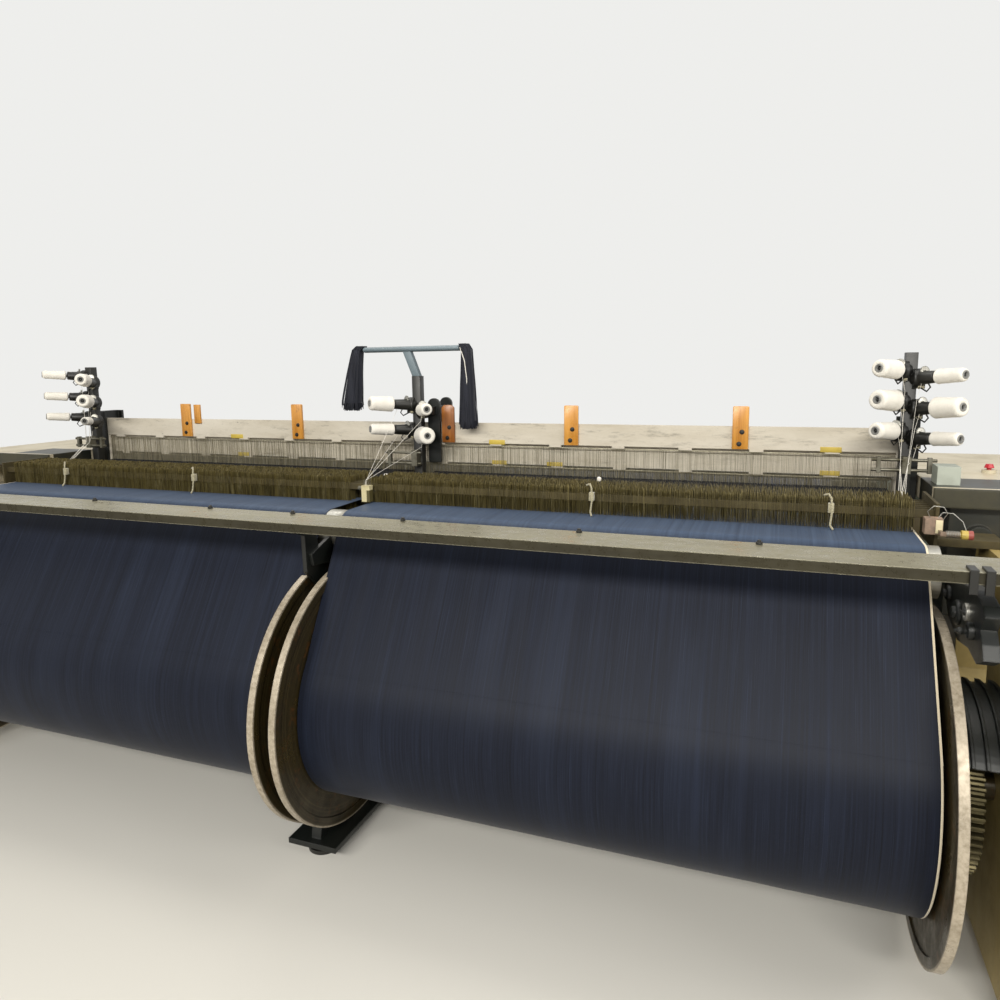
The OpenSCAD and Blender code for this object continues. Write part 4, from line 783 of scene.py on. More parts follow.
def mesh_from(shape, round_edges=0.0, segments=2):
    """A mesh from a shape, with its faces outwards and its sharp edges rounded."""
    mesh = bpy.data.meshes.new("shape")
    mesh.from_pydata([tuple(p) for p in shape[0]], [], shape[1])
    made = bmesh.new()
    made.from_mesh(mesh)
    bmesh.ops.recalc_face_normals(made, faces=made.faces)
    if round_edges:
        sharp = [e for e in made.edges if e.is_manifold and e.calc_face_angle() > math.radians(40)]
        bmesh.ops.bevel(
            made, geom=sharp, offset=round_edges, segments=segments, affect="EDGES", profile=0.5,
            clamp_overlap=True,
        )
    made.to_mesh(mesh)
    made.free()
    return mesh


def make(name, shapes, finish, body="loom_frame", stands_for=(), round_edges=0.0, crease=35, slot=None):
    """A named piece straight from a shape or a list of shapes."""
    shape = joined(*shapes) if isinstance(shapes, list) else shapes
    piece = show(name, mesh_from(shape, round_edges), finish, body, stands_for, crease, slot)
    print(name, len(piece.data.polygons), "faces")
    return piece


# %% [markdown]
# ## Geometry Nodes for what repeats
# Drop wires, heddles, reed dents, bolts, fins and threads repeat by the hundred. A Geometry Nodes tree
# sets one small pattern piece on every point of a grid, or round an axis, with a little seeded disorder.
# The tree ends in Realize Instances and Set Material, and the result is turned into a plain mesh straight
# away.

# %% Trees


def new_tree(name, **sockets):
    """An empty tree with named inputs and a geometry output. Returns the tree, its inputs and its output."""
    tree = bpy.data.node_groups.new(name, "GeometryNodeTree")
    for kind, labels in sockets.items():
        for label in labels.split(", "):
            tree.interface.new_socket(label, in_out="INPUT", socket_type="NodeSocket" + kind)
    tree.interface.new_socket("Geometry", in_out="OUTPUT", socket_type="NodeSocketGeometry")
    return tree, add(tree, "NodeGroupInput").outputs, add(tree, "NodeGroupOutput").inputs["Geometry"]


def end_tree(tree, instances, finish, output):
    """Realizes the copies and gives them their finish."""
    solid = out(tree, "GeometryNodeRealizeInstances", {"Geometry": instances})
    tree.links.new(out(tree, "GeometryNodeSetMaterial", {"Geometry": solid, "Material": finish}), output)
    return tree


def vectors(tree, operation, first, second):
    """One Vector Math node."""
    return out(tree, "ShaderNodeVectorMath", {0: first, 1: second}, operation=operation)


def random_vector(tree, reach, seed):
    """A random vector between minus reach and reach."""
    sockets = {"Min": vectors(tree, "MULTIPLY", reach, (-1, -1, -1)), "Max": reach, "Seed": seed}
    return out(tree, "FunctionNodeRandomValue", sockets, data_type="FLOAT_VECTOR")


def mesh_line(tree, count, step, start=(0, 0, 0)):
    """Points at even steps."""
    return out(tree, "GeometryNodeMeshLine", {"Count": count, "Offset": step, "Start Location": start})


def copies_on(tree, points, piece, **turn):
    """A copy of a geometry on every point."""
    return out(tree, "GeometryNodeInstanceOnPoints", {"Points": points, "Instance": piece, **turn})


def object_shape(tree, thing):
    """The geometry of an object."""
    return out(tree, "GeometryNodeObjectInfo", {"Object": thing}, "Geometry")


def rows_tree():
    """Copies of a piece in rows, each moved and leaned a little at random."""
    tree, given, output = new_tree(
        "rows_of_pieces", Object="Piece", Vector="Start, Step, Row step, Jitter, Lean",
        Int="Columns, Rows, Seed", Material="Finish",
    )
    columns = mesh_line(tree, given["Columns"], given["Step"])
    rows = mesh_line(tree, given["Rows"], given["Row step"], given["Start"])
    grid = out(tree, "GeometryNodeRealizeInstances", {"Geometry": copies_on(tree, rows, columns)})
    jitter = random_vector(tree, given["Jitter"], given["Seed"])
    moved = out(tree, "GeometryNodeSetPosition", {"Geometry": grid, "Offset": jitter})
    lean = random_vector(tree, given["Lean"], given["Seed"])
    copies = copies_on(tree, moved, object_shape(tree, given["Piece"]), Rotation=lean)
    return end_tree(tree, copies, given["Finish"], output)


def ring_tree():
    """Copies of a piece turned about an axis along X, in one or more rings."""
    tree, given, output = new_tree(
        "ring_of_pieces", Object="Piece", Vector="Centre, Ring step", Int="Copies, Rings",
        Float="First, Turn", Material="Finish",
    )
    ring = mesh_line(tree, given["Copies"], (0, 0, 0))
    sockets = {0: out(tree, "GeometryNodeInputIndex"), 1: given["Turn"], 2: given["First"]}
    angle = out(tree, "ShaderNodeMath", sockets, operation="MULTIPLY_ADD")
    turn = out(tree, "ShaderNodeCombineXYZ", {0: angle})
    copies = copies_on(tree, ring, object_shape(tree, given["Piece"]), Rotation=turn)
    stations = mesh_line(tree, given["Rings"], given["Ring step"], given["Centre"])
    return end_tree(tree, copies_on(tree, stations, copies), given["Finish"], output)


def strands_tree():
    """A bundle of yarn along a curve: it spreads from one width to another and each strand wanders."""
    tree, given, output = new_tree(
        "bundle_of_strands", Object="Path", Int="Strands, Seed", Vector="Top spread, Foot spread",
        Float="Wander, Thickness", Material="Finish",
    )
    line = out(tree, "GeometryNodeMeshToCurve", {"Mesh": object_shape(tree, given["Path"])})
    sockets = {"Geometry": line, "Amount": given["Strands"]}
    copies = add(tree, "GeometryNodeDuplicateElements", sockets, domain="SPLINE")
    strand = add(tree, "GeometryNodeCaptureAttribute", domain="CURVE")
    tree.links.new(copies.outputs["Geometry"], strand.inputs["Geometry"])
    strand.capture_items.new("FLOAT", "number")
    tree.links.new(copies.outputs["Duplicate Index"], strand.inputs["number"])
    sockets = {"Min": (-0.5,) * 3, "Max": (0.5,) * 3, "ID": strand.outputs["number"], "Seed": given["Seed"]}
    place = out(tree, "FunctionNodeRandomValue", sockets, data_type="FLOAT_VECTOR")
    share = out(tree, "GeometryNodeSplineParameter", output="Factor")
    sockets = {0: share, 4: given["Top spread"], 5: given["Foot spread"]}
    aside = vectors(tree, "MULTIPLY", place, out(tree, "ShaderNodeMix", sockets, 1, data_type="VECTOR"))
    waves = vectors(tree, "MULTIPLY", out(tree, "GeometryNodeInputPosition"), (4, 4, 9))
    waves = vectors(tree, "ADD", waves, vectors(tree, "MULTIPLY", place, (90, 70, 50)))
    cloud = out(tree, "ShaderNodeTexNoise", {"Vector": waves, "Scale": 1.0, "Detail": 1.0}, "Color")
    loose = out(tree, "ShaderNodeMath", {0: share, 1: given["Wander"]}, operation="MULTIPLY")
    sockets = {0: vectors(tree, "ADD", cloud, (-0.5,) * 3), "Scale": loose}
    drift = out(tree, "ShaderNodeVectorMath", sockets, operation="SCALE")
    sockets = {"Geometry": strand.outputs["Geometry"], "Offset": vectors(tree, "ADD", aside, drift)}
    curves = out(tree, "GeometryNodeSetPosition", sockets)
    section = out(tree, "GeometryNodeCurvePrimitiveCircle", {"Resolution": 4, "Radius": given["Thickness"]})
    sockets = {"Curve": curves, "Profile Curve": section, "Fill Caps": True}
    return end_tree(tree, out(tree, "GeometryNodeCurveToMesh", sockets), given["Finish"], output)


ROWS = rows_tree()
RING = ring_tree()
STRANDS = strands_tree()

# %% [markdown]
# ### Growing a mesh from a tree
# A tree runs once on an empty holder, and its result is kept as a plain mesh. An input that isn't given is
# zero, and there is one row or ring.

# %% Growing a mesh from a tree


def grow(tree, pattern, **given):
    """Runs a tree once and returns its result as a plain mesh. The pattern object is removed again."""
    given = {key.replace("_", " "): value for key, value in given.items()}
    given = {"Rows": 1, "Rings": 1, "Piece": pattern, "Path": pattern, **given}
    holder = bpy.data.objects.new("grown", bpy.data.meshes.new("grown"))
    modifier = holder.modifiers.new("grow", "NODES")
    modifier.node_group = tree
    for socket in tree.interface.items_tree:
        if socket.in_out == "INPUT" and socket.name in given:
            modifier[socket.identifier] = given[socket.name]
    bpy.context.scene.collection.objects.link(holder)
    seen = bpy.context.evaluated_depsgraph_get()
    mesh = bpy.data.meshes.new_from_object(holder.evaluated_get(seen), depsgraph=seen)
    holder.modifiers.remove(modifier)
    bpy.data.objects.remove(holder)
    bpy.data.objects.remove(pattern)
    return mesh


def linked(name, mesh):
    """A loose object in the scene, for a tree to work on."""
    thing = bpy.data.objects.new(name, mesh)
    bpy.context.scene.collection.objects.link(thing)
    return thing


def pattern_of(shape, round_edges=0.0):
    """A loose object that a tree copies."""
    return linked("pattern", mesh_from(shape, round_edges, 1))


def meshes_joined(meshes):
    """Several grown meshes as one."""
    made = bmesh.new()
    for mesh in meshes:
        made.from_mesh(mesh)
        bpy.data.meshes.remove(mesh)
    whole = bpy.data.meshes.new("joined")
    made.to_mesh(whole)
    made.free()
    return whole


# %% [markdown]
# ## The wound warp
# A warp beam is wound under tension, so its yarn lies in a true cylinder, but not a perfect one: the
# tension of each section differs a little, and faint bands run round the drum. A turned shape with many
# stations and a small change of radius from one to the next gives those bands. It is the largest surface in
# the picture.

# %% Wound warp
YARN_LOW, YARN_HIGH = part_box("right_beam_yarn")
BEAM_CENTRE = (0, BEAM_Y, BEAM_Z)
CORE_R = 0.112
WINDING_STATIONS = 220
SELVEDGE_X = YARN_HIGH.x - 0.0075
SELVEDGE_W = 0.006
INDIGO_X = SELVEDGE_X - SELVEDGE_W
SKIN = 0.0003


def winding_radius(x):
    """Radius of the wound yarn at a place along the beam."""
    slow = math.sin(x * 7.1) + 0.7 * math.sin(x * 19.3 + 1.0) + 0.5 * math.sin(x * 43.0 + 2.0)
    return YARN_R - 0.0006 + 0.00028 * slow


def wound_yarn(side):
    """The wound drum of one beam, open for the barrel, with a steep shoulder at its outer end."""
    x0, x1, end = side * (YARN_LOW.x + SKIN), side * INDIGO_X, side * (YARN_HIGH.x - SKIN)
    stations = [x0 + (x1 - x0) * i / WINDING_STATIONS for i in range(WINDING_STATIONS + 1)]
    profile = [(x0, CORE_R)] + [(x, winding_radius(x)) for x in stations]
    profile += [(x1, YARN_R - 0.004), (end, CORE_R + 0.010), (end, CORE_R), (x0, CORE_R)]
    return turned(profile, BEAM_CENTRE, steps=120)


def selvedge_ring(side):
    """The cream ends wound beside the indigo, a narrow ring on the drum's shoulder."""
    x0, x1 = side * (INDIGO_X + SKIN), side * SELVEDGE_X
    outer = YARN_R - 0.0008
    profile = [(x0, outer - 0.012), (x0, outer), ((x0 + x1) / 2, outer + 0.0005), (x1, outer - 0.001)]
    return turned([*profile, (x1, outer - 0.013), (x0, outer - 0.012)], BEAM_CENTRE, steps=120)


for side, word, finish in ((-1, "left", left_warp_yarn), (1, "right", right_warp_yarn)):
    beam_body = f"{word}_beam_set"
    make(f"{word}_wound_warp", wound_yarn(side), finish, beam_body, [f"{word}_beam_yarn"], crease=50)
    make(f"{word}_selvedge_ring", selvedge_ring(side), cream_yarn, beam_body, crease=50)

# %% [markdown]
# ## The warp sheet over the whip roll
# The ends leave the drum along its tangent, run up under the rail, turn over the whip roll and go level to
# the drop wires. The line is worked out from the rolls themselves. The sheet is split in three: the rear
# stretch, the wrap, which rides on the back rest, and the front stretch. Its foot lies thin on the drum, so
# no edge shows there.

# %% Line over rolls


def touch_angle(one, other):
    """Direction of the left normal of the line that touches two rolls given as (y, z, radius, side)."""
    dy, dz = other[0] - one[0], other[1] - one[1]
    share = (other[3] * other[2] - one[3] * one[2]) / math.hypot(dy, dz)
    return math.atan2(dz, dy) + math.acos(max(-1.0, min(1.0, share)))


def on_roll(roll, angle):
    """The point of a roll in a direction."""
    return roll[0] + roll[2] * math.cos(angle), roll[1] + roll[2] * math.sin(angle)


def touched(roll, angle):
    """Angle on the roll of a touching line with that left normal."""
    return angle + math.pi if roll[3] > 0 else angle


def wrap(roll, before, after, step=math.radians(6)):
    """Points where the web lies on a roll, from the line that comes to the line that goes."""
    start, end = touched(roll, touch_angle(before, roll)), touched(roll, touch_angle(roll, after))
    turn = (end - start) % (2 * math.pi) * roll[3] if roll[3] > 0 else -((start - end) % (2 * math.pi))
    count = max(2, math.ceil(abs(turn) / step))
    return [on_roll(roll, start + turn * i / count) for i in range(count + 1)]


def stretch(first, last, count):
    """Points along a straight stretch, both ends included."""
    return [tuple(a + (b - a) * i / count for a, b in zip(first, last)) for i in range(count + 1)]


def sheet_shape(line, thickness, left, right, columns, ripple=0.0, foot=1.0):
    """A thin closed sheet over a YZ line. left and right give each edge's X at both ends of the line,
    and foot the share of the thickness that the sheet starts with."""
    count, row = len(line), columns + 1
    under = count * row
    points, faces = [], []
    for layer in (0.0, 1.0):
        for i, (y, z) in enumerate(line):
            before, after = line[max(i - 1, 0)], line[min(i + 1, count - 1)]
            slope = math.hypot(after[0] - before[0], after[1] - before[1])
            ny, nz = -(after[1] - before[1]) / slope, (after[0] - before[0]) / slope
            share = i / (count - 1)
            thick = layer * thickness * min(1.0, foot + share * 8)
            x0, x1 = (edge[0] + (edge[1] - edge[0]) * share for edge in (left, right))
            for k in range(row):
                x = x0 + (x1 - x0) * k / columns
                lift = thick + ripple * math.sin(x * 61 + 3 * math.sin(x * 7)) * math.sin(share * math.pi)
                points.append((x, y + ny * lift, z + nz * lift))
    for i in range(count - 1):
        for k in range(columns):
            a = i * row + k
            faces.append((a, a + row, a + row + 1, a + 1))
            faces.append((under + a, under + a + 1, under + a + row + 1, under + a + row))
    rim = [*range(row), *(i * row + columns for i in range(1, count))]
    rim += [(count - 1) * row + k for k in range(columns - 1, -1, -1)]
    rim += [i * row for i in range(count - 2, 0, -1)]
    faces += [(a, b, b + under, a + under) for a, b in zip(rim, rim[1:] + rim[:1])]
    return points, faces


# %% [markdown]
# ### The sheets
# The edges are where the photograph shows them. A cream ribbon, the selvedge, runs along each outer edge.

# %% Warp sheets
SHEET_T = 0.0014
GAP = 0.0004
RIBBON_EDGE = 0.0060
WHIP_Y, WHIP_Z, WHIP_R = roll_of("whip_roll")
WARP_Z = WHIP_Z + WHIP_R + GAP
WARP_EDGE, SHEET_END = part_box("right_warp_sheet")[1].xy
drum = (BEAM_Y, BEAM_Z, YARN_R + SKIN, -1)
whip = (WHIP_Y, WHIP_Z, WHIP_R + GAP, -1)
leaving = on_roll(drum, touched(drum, touch_angle(drum, whip)))
over_whip = wrap(whip, drum, (SHEET_END, WARP_Z, 0.0, -1))
rear_line = stretch(leaving, over_whip[0], 24)
front_line = stretch(over_whip[-1], (SHEET_END, WARP_Z), 12)
print("free warp from drum to whip roll:", round(math.dist(leaving, over_whip[0]), 3), "m")

SHEETS = (
    # word, side, edges over the whip roll, edges on the drum, finish
    ("left", -1, (-1.9385, -0.030), (-INDIGO_X, -0.0565), left_warp_yarn),
    ("right", 1, (0.042, 1.9385), (0.0575, INDIGO_X), right_warp_yarn),
)
for word, way, edges, drum_edges, finish in SHEETS:
    warp = list(zip(drum_edges, edges))
    outer = warp[0] if way < 0 else warp[1]
    ribbon_edges = [[x + way * reach for x in outer] for reach in (GAP, RIBBON_EDGE)]
    kinds = (("warp", warp, finish, 120), ("selvedge", ribbon_edges, cream_yarn, 2))
    for kind, sides, skin, columns in kinds:
        for run, line in (("rear", rear_line), ("wrap", over_whip), ("front", front_line)):
            part = f"{kind}_{run}"
            left, right = sides if run == "rear" else ((edge[1], edge[1]) for edge in sides)
            shape = sheet_shape(
                line, SHEET_T, left, right, 60 if part == "warp_wrap" else columns,
                0.0005 if part == "warp_rear" else 0.0, 0.12 if run == "rear" else 1.0,
            )
            body = "back_rest" if run == "wrap" else None
            stands_for = [f"{word}_warp_sheet"] if part == "warp_rear" else []
            piece = make(f"{word}_{part}", shape, skin, body, stands_for, crease=50)
            if run == "rear":
                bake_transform(piece)
            if run == "front":
                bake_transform(piece)

# %% [markdown]
# ## Drop wires
# One thin steel strip rides on every warp end and falls when that end breaks. It hangs on a contact bar by
# a slot, and its head is cut slanting. Six rows of them stand behind each other, and seen from behind they
# make the fuzzy olive hedge over the warp. The slot matters: the contact bar has to pass through it.

# %% Drop wires
stop_low, stop_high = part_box("drop_wires")
WIRE_UP = stop_high.z - WARP_Z - SHEET_T
WIRE_DOWN = WARP_Z - stop_low.z
WIRE_HALF = 0.0055
WIRE_T = 0.0005
WIRE_PITCH = 0.0038
ROW_PITCH = 0.035
ROWS_OF_WIRES = 6
FIRST_ROW_Y = 0.2
SLOT_LOW, SLOT_HIGH, SLOT_HALF = 0.040, 0.078, 0.0036
WIRES_INNER_LEFT, WIRES_INNER_RIGHT = -0.055, 0.040


def drop_wire():
    """One drop wire about the point where its warp end passes, with a slot for the contact bar."""
    outline = []
    for half in (WIRE_HALF, SLOT_HALF):
        outline += [(-half, SLOT_LOW), (-half, SLOT_HIGH), (half, SLOT_HIGH), (half, SLOT_LOW)]
    outline += [(WIRE_HALF, WIRE_UP), (-WIRE_HALF + 0.003, WIRE_UP - 0.001), (-WIRE_HALF, WIRE_UP - 0.007)]
    outline += [(-WIRE_HALF, -WIRE_DOWN + 0.004), (0.0, -WIRE_DOWN + 0.001), (WIRE_HALF, -WIRE_DOWN + 0.004)]
    points = [(x, y, z) for x in (-WIRE_T / 2, WIRE_T / 2) for y, z in outline]
    count = len(outline)
    plates = [(0, 1, 5, 4), (3, 7, 6, 2), (1, 10, 9, 8, 2, 6, 5), (0, 4, 7, 3, 13, 12, 11)]
    faces = plates + [tuple(i + count for i in f)[::-1] for f in plates]
    for loop in ([0, 1, 10, 9, 8, 2, 3, 13, 12, 11], [7, 6, 5, 4]):
        faces += [(a, b, b + count, a + count) for a, b in zip(loop, loop[1:] + loop[:1])]
    return points, faces


for word, x0, x1, seed in (
    ("left", stop_low.x, WIRES_INNER_LEFT, 7), ("right", WIRES_INNER_RIGHT, stop_high.x, 8),
):
    columns = int((x1 - x0) / WIRE_PITCH)
    mesh = grow(
        ROWS, pattern_of(drop_wire()), Start=(x0, FIRST_ROW_Y, WARP_Z + SHEET_T / 2), Columns=columns,
        Step=(WIRE_PITCH, 0, 0), Rows=ROWS_OF_WIRES, Row_step=(0.0003, ROW_PITCH, 0),
        Jitter=(0.0012, 0.0006, 0.0028), Lean=(0.012, 0.02, 0.12), Seed=seed, Finish=drop_wire_steel,
    )
    piece = show(f"{word}_drop_wires", mesh, drop_wire_steel, "loom_frame", crease=20)
    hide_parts("drop_wires")
    print(f"{word} drop wires:", columns * ROWS_OF_WIRES, "strips,", len(mesh.polygons), "faces")

# %% [markdown]
# ## Heddles, heald rods and the warp in the shed
# Each heald frame carries hundreds of flat steel heddles on two rods, and every fourth end goes through its
# eyes. The warp between the drop wires and the fell is built as thin ribbons, one set for each frame.

# %% Heddles
HEDDLE_PITCH = 0.0052
HEDDLE_T = 0.0007
HEDDLE_HALF, EYE_HALF = 0.0012, 0.0025
HEDDLE_ROD_H, HEDDLE_ROD_HALF = 0.005, 0.0012
HEALDS = (1, 2, 3, 4)


def heddles_at(k):
    """Box of the heddles of a frame, the Y of their plane and the height of their eyes."""
    low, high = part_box(f"heddles_{k}")
    return low, high, (low.y + high.y) / 2, (low.z + high.z) / 2


def heddle(length):
    """One heddle: a thin strip with a wider eye at its middle, about the eye."""
    upper = [(EYE_HALF, 0.008), (HEDDLE_HALF, 0.02), (HEDDLE_HALF, length / 2)]
    right = [(w, -z) for w, z in reversed(upper)] + upper
    outline = right + [(-w, z) for w, z in reversed(right)]
    return pushed(outline, -HEDDLE_T / 2, HEDDLE_T / 2)


for k in HEALDS:
    low, high, plane, eye = heddles_at(k)
    wires = grow(
        ROWS, pattern_of(heddle(high.z - low.z - 0.006)), Start=(low.x + 0.003, plane, eye),
        Columns=int((high.x - low.x) / HEDDLE_PITCH), Step=(HEDDLE_PITCH, 0, 0),
        Jitter=(0.0016, 0.0002, 0.001), Lean=(0.0, 0.006, 0.5), Seed=20 + k, Finish=heddle_steel,
    )
    rods = [
        block((low.x, plane - HEDDLE_ROD_HALF, z), (high.x, plane + HEDDLE_ROD_HALF, z + HEDDLE_ROD_H))
        for z in (low.z, high.z - HEDDLE_ROD_H)
    ]
    whole = meshes_joined([wires, mesh_from(joined(*rods), 0.0008)])
    show(f"heddle_set_{k}", whole, heddle_steel, f"heald_set_{k}", [f"heddles_{k}"], 30)
    print("heddle set", k, len(whole.polygons), "faces")

# %% [markdown]
# ### The warp in the shed
# Thin ribbons run from the drop wires through the eyes to the fell, one set for each heald frame.

# %% Warp in the shed
RIBBON_PITCH = 0.0062
RIBBON_W = 0.0034
RIBBON_T = 0.0006
RIBBON_CUTS = 6
WARP_INNER_LEFT, WARP_INNER_RIGHT = -0.056, 0.042
cloth_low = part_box("woven_cloth")[0]
FELL = (cloth_low.y, WARP_Z)


def ribbon(length, rise):
    """A few neighbouring ends as one thin ribbon, cut into short lengths."""
    outline = [(length * i / RIBBON_CUTS, rise * i / RIBBON_CUTS) for i in range(RIBBON_CUTS + 1)]
    outline += [(y, z + RIBBON_T) for y, z in reversed(outline)]
    points, faces = pushed(outline, -RIBBON_W / 2, RIBBON_W / 2)
    strips = [f for f in faces if len(f) == 4]
    last = len(outline) - 1
    for a in (0, len(outline)):
        strips += [(a + i, a + i + 1, a + last - i - 1, a + last - i) for i in range(RIBBON_CUTS)]
    return points, strips


for k in HEALDS:
    low, high, plane, eye = heddles_at(k)
    runs = (
        ("rear", (SHEET_END + 0.001, WARP_Z), (plane - 0.003, eye), "upper_shed_sheet"),
        ("front", (plane + 0.003, eye), (FELL[0] - 0.001, FELL[1]), "lower_shed_sheet"),
    )
    for word, first, last, stand_in in runs:
        halves = [
            grow(
                ROWS, pattern_of(ribbon(last[0] - first[0], last[1] - first[1])),
                Start=(x0 + 0.0016 * k, *first), Columns=int((x1 - x0 - 0.008) / RIBBON_PITCH),
                Step=(RIBBON_PITCH, 0, 0), Jitter=(0.0006, 0, 0), Seed=40 + k, Finish=shaded_shed_yarn,
            )
            for x0, x1 in ((-WARP_EDGE, WARP_INNER_LEFT), (WARP_INNER_RIGHT, WARP_EDGE))
        ]
        hidden = [stand_in] if k == 1 else []
        piece = show(f"warp_{k}_{word}", meshes_joined(halves), shaded_shed_yarn, None, hidden, 50)
        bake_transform(piece)
    print("warp through frame", k, len(piece.data.polygons), "faces in each run")

# %% [markdown]
# ## Reed and cloth
# The reed is a comb of flat steel dents between two bound ribs, and it leans back with the sley. It is
# built upright and then tipped about the rocking shaft. Behind the fell the cloth runs over the breast
# beam, round the take-up roll and past the press roll to the cloth roll, always under tension.

# %% Reed
ROCK = Vector((0, 1.040, 1.000))
SLEY_BACK = math.radians(17)
TIP = Matrix.Translation(ROCK) @ Matrix.Rotation(SLEY_BACK, 4, "X") @ Matrix.Translation(-ROCK)
REED_FOOT = 1.182
REED_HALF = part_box("reed")[1].x
REED_H = 0.140
DENT_PITCH = 0.0031
dent = block((-0.0004, -0.0022, 0.012), (0.0004, 0.0022, REED_H - 0.010))
dents = grow(
    ROWS, pattern_of(dent), Start=(-REED_HALF + 0.004, ROCK.y, REED_FOOT),
    Columns=int(2 * REED_HALF / DENT_PITCH) - 2, Step=(DENT_PITCH, 0, 0), Jitter=(0.0001, 0, 0),
    Lean=(0, 0, 0.02), Seed=3, Finish=reed_steel,
)
ribs = [
    block((-REED_HALF, ROCK.y - 0.0025, z0), (REED_HALF, ROCK.y + 0.0025, z1))
    for z0, z1 in ((REED_FOOT, REED_FOOT + 0.014), (REED_FOOT + REED_H - 0.012, REED_FOOT + REED_H))
]
reed_mesh = meshes_joined([dents, mesh_from(joined(*ribs), 0.001)])
reed_mesh.transform(TIP)
show("steel_reed", reed_mesh, reed_steel, "sley_set", ["reed"], 30)
print("reed dents:", len(reed_mesh.polygons), "faces")

# %% [markdown]
# ### The cloth
# The web follows the rolls from the fell to the cloth roll, in two widths side by side.

# %% Cloth line
CLOTH_T = 0.0016
BREAST_R = 0.040
WEB_INNER = 0.040


def web_roll(node, under, way):
    """A roll as the web sees it: centre, radius with what lies between, and the side that it passes."""
    y, z, radius = roll_of(node)
    return y, z, radius + under, way


breast = (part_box("breast_beam")[1].y - BREAST_R, WARP_Z - GAP - BREAST_R, BREAST_R + GAP, -1)
takeup = web_roll("take_up_roll", GAP, -1)
press = web_roll("press_roll", GAP + CLOTH_T, 1)
beam = web_roll("cloth_roll", GAP + CLOTH_T, 1)
fell = (*FELL, 0.0, -1)
line = stretch(FELL, wrap(breast, fell, takeup)[0], 10)[:-1]
for roll, before, after in ((breast, fell, takeup), (takeup, breast, press), (press, takeup, beam)):
    line += wrap(roll, before, after)
cloth_touch = on_roll(beam, touched(beam, touch_angle(press, beam)))
line += stretch(line[-1], cloth_touch, 8)[1:]
for word, x0, x1 in (("left", cloth_low.x, -WEB_INNER), ("right", WEB_INNER, -cloth_low.x)):
    shape = sheet_shape(line, CLOTH_T, (x0, x0), (x1, x1), 60)
    piece = make(f"{word}_denim_web", shape, denim, "loom_frame", ["woven_cloth"], crease=60)

# %% [markdown]
# ## Cones on the creel posts
# Small cones of white yarn feed the selvedges. Each is cross-wound, so its flank shows shallow ridges, its
# shoulders are rounded, and the grey end of the paper core sits in the middle of its nose. The cones are
# used up differently. A cone's axis and seat come from a small table, as in the construction.

# %% Cones
CONE_DIR, CONE_RISE = math.radians(38), math.radians(4)
CONE_L, CONE_R0, CONE_R1, CORE_END, PIN_R = 0.120, 0.041, 0.037, 0.015, 0.008
FLANK_STEPS = 14
POST_Y = 0.710
SEAT_GAP = 0.006
POSTS = (
    # word, X of the post, and for each seat: side, level, reach of the holder, share of a full cone
    ("left", -1.973, (
        (-1, 1.750, 0.100, 0.56), (-1, 1.638, 0.100, 0.56), (-1, 1.529, 0.100, 0.54),
        (1, 1.718, 0.170, 0.80), (1, 1.610, 0.170, 0.86), (1, 1.507, 0.170, 0.54),
    )),
    ("centre", 0.0, (
        (-1, 1.605, 0.106, 0.83), (-1, 1.492, 0.106, 0.64), (1, 1.582, 0.020, 0.72), (1, 1.466, 0.020, 1.0),
    )),
    ("right", 1.973, (
        (-1, 1.735, 0.056, 0.83), (-1, 1.626, 0.056, 0.93), (-1, 1.517, 0.056, 0.80),
        (1, 1.708, 0.092, 0.64), (1, 1.600, 0.092, 0.91), (1, 1.492, 0.092, 0.62),
    )),
)


def seat_axis(post_x, seat):
    """Where a cone seat starts and which way its axis points."""
    side, level = seat[:2]
    along = Vector((side * math.sin(CONE_DIR), -math.cos(CONE_DIR), 0)) * math.cos(CONE_RISE)
    along.z = math.sin(CONE_RISE)
    return Vector((post_x + side * 0.014, POST_Y - 0.008, level)), along


def cone_profile(seat):
    """Flank of one cone: rounded shoulders and the ridges of the cross winding."""
    start, full = seat[2] + SEAT_GAP, seat[3]
    length, base, nose = CONE_L - 0.012, CONE_R0 * full, CONE_R1 * full
    end = start + length
    profile = [(start + 0.001, CORE_END - 0.001), (start, base - 0.005), (start + 0.002, base - 0.0012)]
    for i in range(FLANK_STEPS + 1):
        share = i / FLANK_STEPS
        radius = (CONE_R0 + (CONE_R1 - CONE_R0) * share) * full
        ridge = 0.00045 * math.cos(i * 2.4) + 0.0003 * math.cos(i * 1.1 + full * 20)
        profile.append((start + 0.005 + (length - 0.014) * share, radius + ridge - 0.0004))
    return profile + [
        (end - 0.005, nose - 0.0022), (end - 0.0015, nose - 0.0062), (end - 0.0005, nose - 0.010),
        (end - 0.001, CORE_END + 0.0005), (end - 0.003, CORE_END - 0.001), (start + 0.001, CORE_END - 0.001),
    ]


def core_profile(seat):
    """The paper core: a tube with a rolled nose and a ring groove."""
    start, end = seat[2] + SEAT_GAP - 0.003, seat[2] + SEAT_GAP + CONE_L - 0.010
    return [
        (start, PIN_R + 0.0005), (start, CORE_END), (end - 0.002, CORE_END), (end - 0.0005, CORE_END - 0.001),
        (end, CORE_END - 0.0025), (end - 0.002, CORE_END - 0.004), (end - 0.0005, CORE_END - 0.0055),
        (end - 0.003, PIN_R + 0.0005), (start, PIN_R + 0.0005),
    ]


for word, post_x, seats in POSTS:
    flanks = [turned(cone_profile(seat), *seat_axis(post_x, seat), 40) for seat in seats]
    cores = [turned(core_profile(seat), *seat_axis(post_x, seat), 28) for seat in seats]
    make(f"{word}_yarn_cones", flanks, cone_yarn, stands_for=[f"{word}_cones"], crease=50)
    make(f"{word}_cone_cores", cores, core_paper, crease=50)

